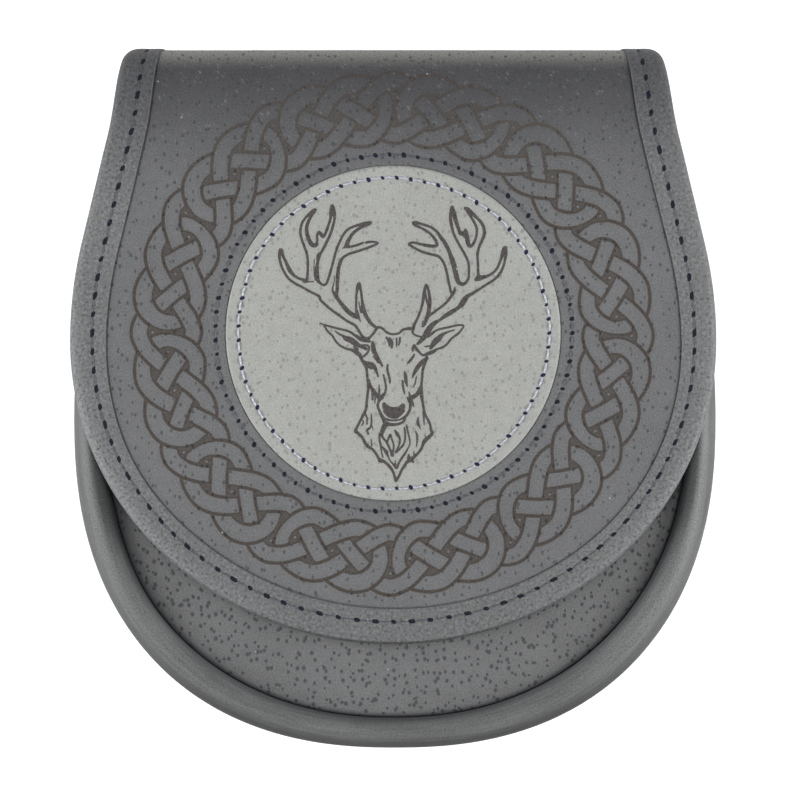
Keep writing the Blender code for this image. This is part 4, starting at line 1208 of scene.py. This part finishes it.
def make_stag(material):
    """The stag's head: the strokes' field on a square grid, kept where it is engraved, above the disc."""
    rows = np.linspace(STAG_BOTTOM, STAG_TOP, round((STAG_TOP - STAG_BOTTOM) / STAG_CELL) + 1)
    columns = np.linspace(-STAG_HALF_WIDE, STAG_HALF_WIDE, round(2.0 * STAG_HALF_WIDE / STAG_CELL) + 1)
    y, x = np.meshgrid(rows, columns, indexing="ij")
    field = stroke_field(STAG_STROKES, x, y)
    used, quads = kept_cells(field)
    depth = ramp(field.ravel()[used], -0.14, 0.28)
    flat = np.column_stack([x.ravel()[used] + STAG_X, y.ravel()[used] + ROUNDEL_Y])
    radius = np.hypot(flat[:, 0], flat[:, 1] - ROUNDEL_Y)
    points = np.column_stack([flat, roundel_level(radius) + ENGRAVED_OUT])
    add_mesh("roundel_engraving", points, material, quads, sheet=flat, values={"engraved": depth},
             closed=False, slot="pale_leather")


# Finishes --------------------------------------------------------------------------------------------------

# Tones that several leathers share, and how strongly they show.
# Painted shade over the fold, and the burnt tint that the engraving takes there.
FOLD_SHADE_TONE = (0.48, 0.48, 0.50)
STRETCHED_SCORCH = (0.93, 0.83, 0.72)
# Pale creases over the fold: partly creased leather, partly painted highlights on them.
FOLD_MARK_TONE = (0.17, 0.17, 0.17)
FOLD_MARK_SHARE = 0.55
FOLD_MARK_SLANT = -42.0
# The painted highlight along the fold's top.
FOLD_TOP_HIGHLIGHT_TONE = (0.215, 0.216, 0.200)
# Painted shade in the seam's gap between the front and the gusset.
SEAM_SHADE_TONE = (0.050, 0.053, 0.067)
SEAM_SHADE_SHARE = 0.45
DUST_TONE = (0.27, 0.27, 0.26)
# The painted highlight along the fold's top, in mm along the sheet from the fold's top: where it begins and
# is whole in front of the top, and where it is whole and ends behind it.
FOLD_TOP_HIGHLIGHT = (-10.5, -2.5, 3.0, 9.0)


def fill(tree, sockets, values):
    """Set sockets to their values, or link to them what the values are outputs of."""
    for name, value in values.items():
        if isinstance(value, bpy.types.NodeSocket):
            tree.links.new(value, sockets[name])
        else:
            sockets[name].default_value = value


def new_material(name):
    """A new material, its node tree, and the inputs of its surface."""
    made = bpy.data.materials.new(name)
    made.use_nodes = True
    return made, made.node_tree, made.node_tree.nodes["Principled BSDF"].inputs


def node(tree, kind, inputs=None, **settings):
    """A shader node: settings are its properties, inputs its sockets' values or what is linked to them."""
    made = tree.nodes.new("ShaderNode" + kind)
    for name, value in settings.items():
        setattr(made, name, value)
    fill(tree, made.inputs, inputs or {})
    return made


def maths(tree, operation, *values):
    """The result of an operation on one or two numbers."""
    return node(tree, "Math", dict(enumerate(values)), operation=operation).outputs[0]


def times(tree, first, second):
    """The product of two numbers."""
    return maths(tree, "MULTIPLY", first, second)


def plus(tree, first, *further):
    """A sum of numbers, added up from the left."""
    for value in further:
        first = maths(tree, "ADD", first, value)
    return first


def less(tree, first, second):
    """The first number less the second."""
    return maths(tree, "SUBTRACT", first, second)


def smooth(tree, value, low, high):
    """0 at low to 1 at high, with a smooth step between them."""
    return node(tree, "MapRange", {0: value, 1: low, 2: high, 3: 0.0, 4: 1.0},
                interpolation_type="SMOOTHSTEP").outputs[0]


def blended(tree, share, first, second, kind="MIX"):
    """Two colours mixed by a share. A fixed colour is given as three numbers."""
    first, second = (c if isinstance(c, bpy.types.NodeSocket) else (*c, 1.0) for c in (first, second))
    return node(tree, "Mix", {0: share, 6: first, 7: second}, data_type="RGBA", blend_type=kind).outputs[2]


def colour_times(tree, colour, by):
    """A colour multiplied by another."""
    return blended(tree, 1.0, colour, by, "MULTIPLY")


def grey(tree, shade):
    """A number as a grey colour."""
    return node(tree, "CombineColor", {0: shade, 1: shade, 2: shade}).outputs[0]


def bump(tree, height, distance):
    """A normal from a height, whose unit is the distance."""
    return node(tree, "Bump", {"Height": height, "Distance": distance, "Strength": 1.0}).outputs[0]


def cells(tree, place, feature="F1"):
    """Cells about points scattered over a plane, one to a unit square."""
    return node(tree, "TexVoronoi", {"Vector": place, "Scale": 1.0, "Randomness": 1.0},
                voronoi_dimensions="2D", feature=feature).outputs


def cloud(tree, place, detail, roughness, scale=1.0):
    """Soft noise over a plane, 0 to 1 and mostly near the middle."""
    return node(tree, "TexNoise", {"Vector": place, "Scale": scale, "Detail": detail, "Roughness": roughness},
                noise_dimensions="2D").outputs[0]


def new_group(name, inputs, output):
    """An empty node group with named number sockets and one output. Place is a vector."""
    tree = bpy.data.node_groups.new(name, "ShaderNodeTree")
    for socket, value in inputs.items():
        kind = "NodeSocketVector" if socket == "Place" else "NodeSocketFloat"
        made = tree.interface.new_socket(name=socket, in_out="INPUT", socket_type=kind)
        if value is not None:
            made.default_value = value
    tree.interface.new_socket(name=output, in_out="OUTPUT", socket_type="NodeSocketFloat")
    given = tree.nodes.new("NodeGroupInput").outputs
    return tree, given, tree.nodes.new("NodeGroupOutput").inputs[output]


def in_mm(tree, place, across, along):
    """Place in metres divided by a cell's size across and along, in mm."""
    across = maths(tree, "DIVIDE", 1000.0, across)
    along = maths(tree, "DIVIDE", 1000.0, along)
    scale = node(tree, "CombineXYZ", {0: across, 1: along, 2: 1000.0}).outputs[0]
    return node(tree, "VectorMath", {0: place, 1: scale}, operation="MULTIPLY").outputs[0]


def pores_group():
    """Hair pores: small ovals near the cells' points, in two layers. Each has its own size or is left out."""
    tree, given, out = new_group("hair pores", {"Place": None, "Spacing": 3.5, "Radius": 0.3, "Stretch": 1.4,
                                                "Share": 0.6}, "Mask")
    layers = []
    for wider, shift in ((1.0, 0.0), (1.23, 0.0517)):
        across = times(tree, given["Spacing"], wider)
        along = times(tree, across, given["Stretch"])
        moved = node(tree, "VectorMath", {0: given["Place"], 1: (shift, shift, 0.0)}, operation="ADD")
        cell = cells(tree, in_mm(tree, moved.outputs[0], across, along))
        own = node(tree, "SeparateColor", {0: cell["Color"]}).outputs
        away = times(tree, cell["Distance"], across)
        size = times(tree, given["Radius"], plus(tree, 0.65, times(tree, own[1], 0.6)))
        inside = smooth(tree, maths(tree, "DIVIDE", away, size), 1.35, 0.45)
        layers.append(times(tree, inside, maths(tree, "LESS_THAN", own[0], given["Share"])))
    tree.links.new(maths(tree, "MAXIMUM", *layers), out)
    return tree


def grain_group():
    """Fine grain: rounded cells between thin creases, under a finer noise. Height is about 0 to 1."""
    tree, given, out = new_group("fine grain", {"Place": None, "Size": 0.6}, "Height")
    place = in_mm(tree, given["Place"], given["Size"], given["Size"])
    pebble = smooth(tree, cells(tree, place, "DISTANCE_TO_EDGE")["Distance"], 0.0, 0.35)
    fine = cloud(tree, place, detail=3.0, roughness=0.6, scale=0.9)
    tree.links.new(plus(tree, times(tree, pebble, 0.5), times(tree, fine, 0.8)), out)
    return tree


def mottle_group():
    """Uneven dye: soft clouds of a size across and along. The value lies about 0, mostly within a half."""
    tree, given, out = new_group("uneven dye", {"Place": None, "Across": 20.0, "Along": 20.0}, "Value")
    place = in_mm(tree, given["Place"], given["Across"], given["Along"])
    tree.links.new(less(tree, cloud(tree, place, detail=4.0, roughness=0.55), 0.5), out)
    return tree


def dust_group():
    """Sparse dust: a tiny spot in a few cells only."""
    tree, given, out = new_group("dust specks", {"Place": None, "Spacing": 9.0, "Share": 0.1}, "Mask")
    cell = cells(tree, in_mm(tree, given["Place"], given["Spacing"], given["Spacing"]))
    own = node(tree, "SeparateColor", {0: cell["Color"]}).outputs
    near = smooth(tree, cell["Distance"], 0.045, 0.02)
    tree.links.new(times(tree, near, maths(tree, "LESS_THAN", own[2], given["Share"])), out)
    return tree


def specks_group():
    """Grain specks: a fine noise of a size, cut so that only its peaks and hollows are left, from -1 to 1."""
    tree, given, out = new_group("grain specks", {"Place": None, "Size": 0.5}, "Value")
    fine = cloud(tree, in_mm(tree, given["Place"], given["Size"], given["Size"]), detail=2.0, roughness=0.7)
    tree.links.new(less(tree, smooth(tree, fine, 0.54, 0.72), smooth(tree, fine, 0.46, 0.28)), out)
    return tree


EFFECTS = {}


def effect(tree, name, **inputs):
    """What one of the shared groups gives in a material, with values of its own."""
    return node(tree, "Group", inputs, node_tree=EFFECTS[name]).outputs[0]


def number(tree, name):
    """A mesh's named value at each point, 0 where the piece has none."""
    return node(tree, "Attribute", attribute_name=name).outputs["Fac"]


def on_sheet(tree):
    """The place on the leather's sheet, in metres."""
    return node(tree, "UVMap", uv_map="sheet").outputs[0]


def fold_marks(tree, place, colour, height, near, patch, specks, deep):
    """The marks that a fold leaves: short slanting creases, pale in patches partly as painted highlights, and
    a painted highlight along its top.
    """
    slanting = node(tree, "VectorRotate", {"Vector": place, "Angle": math.radians(FOLD_MARK_SLANT)},
                    rotation_type="Z_AXIS").outputs[0]
    marks = effect(tree, "pores", Place=slanting, Spacing=1.3, Radius=0.25, Stretch=2.3, Share=0.5)
    marks = times(tree, marks, near)
    height = less(tree, height, times(tree, marks, deep))
    # The creases are paler in patches, partly as painted highlights.
    pale = times(tree, marks, smooth(tree, patch, -0.05, 0.2))
    colour = blended(tree, times(tree, pale, FOLD_MARK_SHARE), colour, FOLD_MARK_TONE)
    # A speckled painted highlight along the fold's top.
    travel = node(tree, "SeparateXYZ", {0: place}).outputs[1]
    begins, whole, still_whole, ends = ((TRAVEL_TOP + by) * MM for by in FOLD_TOP_HIGHLIGHT)
    band = times(tree, smooth(tree, travel, begins, whole), smooth(tree, travel, ends, still_whole))
    band = times(tree, band, plus(tree, 0.75, times(tree, specks, 0.5)))
    return blended(tree, band, colour, FOLD_TOP_HIGHLIGHT_TONE), height


def leather(name, tone, rough, *, pore=None, pore_tone=(0.037, 0.039, 0.043), pore_share=0.9, pore_deep=0.14,
            grain=0.6, grain_deep=0.03, mottle=0.25, speck_size=0.5, speckle=0.3, streak=0.0, fold_deep=0.0,
            waxed=0.0, burnt=(0.38, 0.305, 0.245), fill_fades=0.2, wear_and_highlight_tone=None, edge_shade_factor=None, dust=0.0,
            specular=0.4):
    """A leather finish: dye, pores, grain, streaks, engraving and wear over the sheet, each by its own mask.

    Over the fold, where the fold stretches it, leather is painted darker as painted shade where the sheet
    turns away from the light. With fold_deep the fold has also left its marks there. Painted highlights and
    painted shade lie on masks of their own. Waxed leather has a soft sheen where it is rubbed, by the same
    mask as its painted highlight.
    """
    made, tree, surface = new_material(name)
    place = on_sheet(tree)
    clouds = effect(tree, "dye", Place=place, Across=24.0, Along=24.0)
    patch = effect(tree, "dye", Place=place, Across=3.0, Along=3.0)
    specks = effect(tree, "specks", Place=place, Size=speck_size)
    shade = plus(tree, 1.0, times(tree, clouds, mottle), times(tree, patch, 0.18),
                 times(tree, specks, speckle))
    height = times(tree, effect(tree, "grain", Place=place, Size=grain), grain_deep)
    if streak:
        lines = effect(tree, "dye", Place=place, Across=22.0, Along=1.0)
        shade = plus(tree, shade, times(tree, lines, streak))
    colour = colour_times(tree, tone, grey(tree, shade))
    engraved = number(tree, "engraved")
    near = number(tree, "stretch_and_shade")
    # Painted shade over the fold, where the sheet turns away from the light.
    colour = blended(tree, near, colour, colour_times(tree, colour, FOLD_SHADE_TONE))
    if fold_deep:
        colour, height = fold_marks(tree, place, colour, height, near, patch, specks, fold_deep)
    if pore:
        holes = effect(tree, "pores", Place=place, **pore)
        colour = blended(tree, times(tree, holes, pore_share), colour, pore_tone)
        height = less(tree, height, times(tree, holes, pore_deep))
    # Lighter where rubbed, and a painted highlight where side light catches a rounded edge or flank.
    if wear_and_highlight_tone:
        wear_and_highlight = times(tree, number(tree, "wear_and_highlight"), plus(tree, 0.45, times(tree, specks, 0.7)))
        colour = blended(tree, wear_and_highlight, colour, wear_and_highlight_tone)
    # Painted shade on edges that turn away from the light, and on low places.
    if edge_shade_factor:
        colour = blended(tree, number(tree, "edge"), colour, colour_times(tree, colour, (edge_shade_factor,) * 3))
    if waxed:
        fill(tree, surface, {"Coat Weight": times(tree, number(tree, "wear_and_highlight"), waxed), "Coat Roughness": 0.6})
    # Painted shade in the seam's gap.
    colour = blended(tree, times(tree, number(tree, "seam_shade"), SEAM_SHADE_SHARE), colour, SEAM_SHADE_TONE)
    tint = blended(tree, near, burnt, STRETCHED_SCORCH)
    faded = times(tree, smooth(tree, engraved, 0.8, 1.0), fill_fades)
    scorch = less(tree, smooth(tree, engraved, 0.0, LINE_DEPTH), faded)
    scorch = times(tree, scorch, less(tree, 0.94, times(tree, specks, 0.12)))
    colour = blended(tree, scorch, colour, colour_times(tree, colour, tint))
    height = less(tree, height, times(tree, engraved, 0.10))
    if dust:
        motes = effect(tree, "dust", Place=place, Spacing=7.0, Share=dust)
        colour = blended(tree, motes, colour, DUST_TONE)
    roughness = plus(tree, rough, times(tree, specks, 0.06), times(tree, engraved, 0.15))
    fill(tree, surface, {"Base Color": colour, "Roughness": roughness, "Specular IOR Level": specular,
                         "Normal": bump(tree, height, MM)})
    return made


def thread(name, tone):
    """Waxed thread: two plies that wind round it, as slanting bands of tone and height."""
    made, tree, surface = new_material(name)
    place = on_sheet(tree)
    plies = node(tree, "TexWave", {"Vector": place, "Scale": 420.0, "Distortion": 0.6, "Detail": 1.0},
                 wave_type="BANDS", bands_direction="DIAGONAL").outputs["Fac"]
    fuzz = effect(tree, "dye", Place=place, Across=0.5, Along=0.5)
    shade = plus(tree, times(tree, plies, 0.4), plus(tree, 0.75, fuzz))
    fill(tree, surface, {"Base Color": colour_times(tree, tone, grey(tree, shade)), "Roughness": 0.6,
                         "Normal": bump(tree, plies, 0.06 * MM)})
    return made


def hole_finish(name, tone, lighter):
    """The dark of a needle hole, painted shade for its depth, a little lighter where the thread's wax has
    rubbed off.
    """
    made, tree, surface = new_material(name)
    rubbed = effect(tree, "dye", Place=on_sheet(tree), Across=0.8, Along=0.8)
    share = smooth(tree, rubbed, -0.1, 0.4)
    fill(tree, surface, {"Base Color": blended(tree, share, tone, lighter), "Roughness": 0.8,
                         "Specular IOR Level": 0.2})
    return made


def brushed_steel():
    """Brushed steel: fine lines across the disc, in tone, roughness and height."""
    made, tree, surface = new_material("brushed_steel")
    place = node(tree, "TexCoord").outputs["Object"]
    lines = effect(tree, "dye", Place=place, Across=6.0, Along=0.15)
    colour = blended(tree, smooth(tree, lines, -0.3, 0.3), (0.5, 0.5, 0.5), (0.66, 0.66, 0.67))
    fill(tree, surface, {"Base Color": colour, "Roughness": plus(tree, 0.3, times(tree, lines, 0.2)),
                         "Metallic": 1.0, "Normal": bump(tree, lines, 0.02 * MM)})
    return made


# Setting ---------------------------------------------------------------------------------------------------

CAMERA_HEIGHT = 1.2
WIDTH_SEEN = 222.46
CAMERA_X = 1.9
CAMERA_Y = 0.28
SENSOR = 36.0
FLOOR_REACH = 30.0
FLOOR_TONE = 0.93
FLOOR_GLOW = 0.3
SURROUND = 0.28
LAMPS_AIM_AT = (0.0, 0.0, 0.02)
# Each lamp's place, its width and height, all in metres, and its power in watts.
LAMPS = {
    "left_lamp": ((-1.3, -0.15, 0.44), 1.2, 0.6, 31.0),
    "right_lamp": ((1.3, -0.15, 0.44), 1.2, 0.6, 31.0),
    "overhead_lamp": ((0.0, 0.2, 2.0), 1.0, 1.0, 16.0),
}


def make_camera():
    """A camera straight above, far enough off that the flap's face fills its frame as wanted."""
    lens = bpy.data.cameras.new("camera")
    lens.sensor_width = SENSOR
    lens.lens = SENSOR * CAMERA_HEIGHT / (WIDTH_SEEN * MM)
    lens.clip_end = 200.0
    camera = bpy.data.objects.new("camera", lens)
    camera.location = (CAMERA_X * MM, CAMERA_Y * MM, (FLAP_LEVEL + FLAP_HALF_THICK) * MM + CAMERA_HEIGHT)
    show(camera)
    bpy.context.scene.camera = camera


def make_floor():
    """A pale floor, lit from below like a light table, and wide enough to reach the horizon."""
    made, tree, surface = new_material("pale_floor")
    fill(tree, surface, {
        "Base Color": (FLOOR_TONE, FLOOR_TONE, FLOOR_TONE, 1.0), "Roughness": 0.9, "Specular IOR Level": 0.1,
        "Emission Color": (1.0, 1.0, 1.0, 1.0), "Emission Strength": FLOOR_GLOW})
    mesh = bpy.data.meshes.new("floor")
    corners = [(x * FLOOR_REACH, y * FLOOR_REACH, 0) for x, y in ((-1, -1), (1, -1), (1, 1), (-1, 1))]
    mesh.from_pydata(corners, [], [(0, 1, 2, 3)])
    mesh.materials.append(made)
    floor = bpy.data.objects.new("floor", mesh)
    show(floor)


def make_lamp(name, place, wide, high, power):
    """A soft oblong light aimed at the object's middle."""
    lamp = bpy.data.lights.new(name, "AREA")
    lamp.shape = "RECTANGLE"
    lamp.size = wide
    lamp.size_y = high
    lamp.energy = power
    made = bpy.data.objects.new(name, lamp)
    made.location = place
    away = np.array(place) - LAMPS_AIM_AT
    made.rotation_euler = (math.acos(away[2] / np.linalg.norm(away)), 0.0, math.atan2(away[0], -away[1]))
    made.visible_camera = False
    show(made)


def make_light():
    """A white surround, two long lamps set low at the left and the right, and one soft lamp overhead."""
    world = bpy.data.worlds.new("surround")
    world.use_nodes = True
    fill(world.node_tree, world.node_tree.nodes["Background"].inputs, {
        "Color": (1.0, 1.0, 1.0, 1.0), "Strength": SURROUND})
    bpy.context.scene.world = world
    for name, sizes in LAMPS.items():
        make_lamp(name, *sizes)


def main():
    """The finishes, the pieces that wear them, and the setting."""
    bpy.context.scene.view_settings.view_transform = "Standard"
    EFFECTS["pores"] = pores_group()
    EFFECTS["grain"] = grain_group()
    EFFECTS["dye"] = mottle_group()
    EFFECTS["dust"] = dust_group()
    EFFECTS["specks"] = specks_group()
    flap_leather = leather(
        "flap_leather", (0.106, 0.107, 0.110), 0.75, specular=0.25, grain=0.5, fold_deep=0.06, dust=0.012,
        pore={"Spacing": 3.4, "Radius": 0.40, "Stretch": 1.2, "Share": 0.7}, pore_share=0.75)
    front_leather = leather(
        "front_leather", (0.108, 0.109, 0.111), 0.75, specular=0.25, grain=0.6, dust=0.02,
        pore={"Spacing": 2.6, "Radius": 0.47, "Stretch": 1.15, "Share": 0.8})
    smooth_leather = leather(
        "smooth_leather", (0.109, 0.111, 0.113), 0.66, specular=0.3, grain=0.5, grain_deep=0.05,
        speck_size=0.85, speckle=0.5, wear_and_highlight_tone=(0.175, 0.185, 0.192), edge_shade_factor=0.42, dust=0.02)
    gusset_leather = leather(
        "gusset_leather", (0.099, 0.101, 0.1005), 0.7, specular=0.15, grain=0.6, grain_deep=0.06, streak=0.75,
        wear_and_highlight_tone=(0.165, 0.169, 0.170), edge_shade_factor=0.25, waxed=0.45)
    painted_edge = leather("painted_edge", (0.105, 0.109, 0.110), 0.9, specular=0.0)
    flesh_side = leather(
        "flesh_side", (0.13, 0.12, 0.11), 0.85, specular=0.1, grain=0.8, grain_deep=0.08, mottle=0.4)
    pale_leather = leather(
        "pale_leather", (0.262, 0.267, 0.253), 0.75, specular=0.25, grain=0.5, mottle=0.12, speckle=0.2,
        pore={"Spacing": 2.7, "Radius": 0.40, "Stretch": 1.2, "Share": 0.6}, pore_tone=(0.16, 0.162, 0.155),
        pore_share=0.7, pore_deep=0.05, burnt=(0.155, 0.131, 0.137), fill_fades=0.0, dust=0.02)
    make_flap(flap_leather, flesh_side)
    make_binding(smooth_leather)
    make_gusset(gusset_leather, flesh_side)
    make_front(front_leather, flesh_side)
    make_back(smooth_leather, flesh_side, painted_edge)
    make_roundel(pale_leather)
    make_loop("strap_loop_left", -LOOP_X, smooth_leather)
    make_loop("strap_loop_right", LOOP_X, smooth_leather)
    make_knots(flap_leather)
    make_stag(pale_leather)
    stitch_rows(hole_finish("needle_hole", (0.004, 0.004, 0.010), (0.012, 0.013, 0.028)),
                hole_finish("navy_hole", (0.008, 0.007, 0.028), (0.022, 0.020, 0.065)),
                thread("dark_thread", (0.055, 0.059, 0.070)), thread("pale_thread", (0.38, 0.40, 0.46)))
    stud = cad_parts["flap_stud"]
    stud.data.materials.clear()
    stud.data.materials.append(brushed_steel())
    make_camera()
    make_floor()
    make_light()


main()
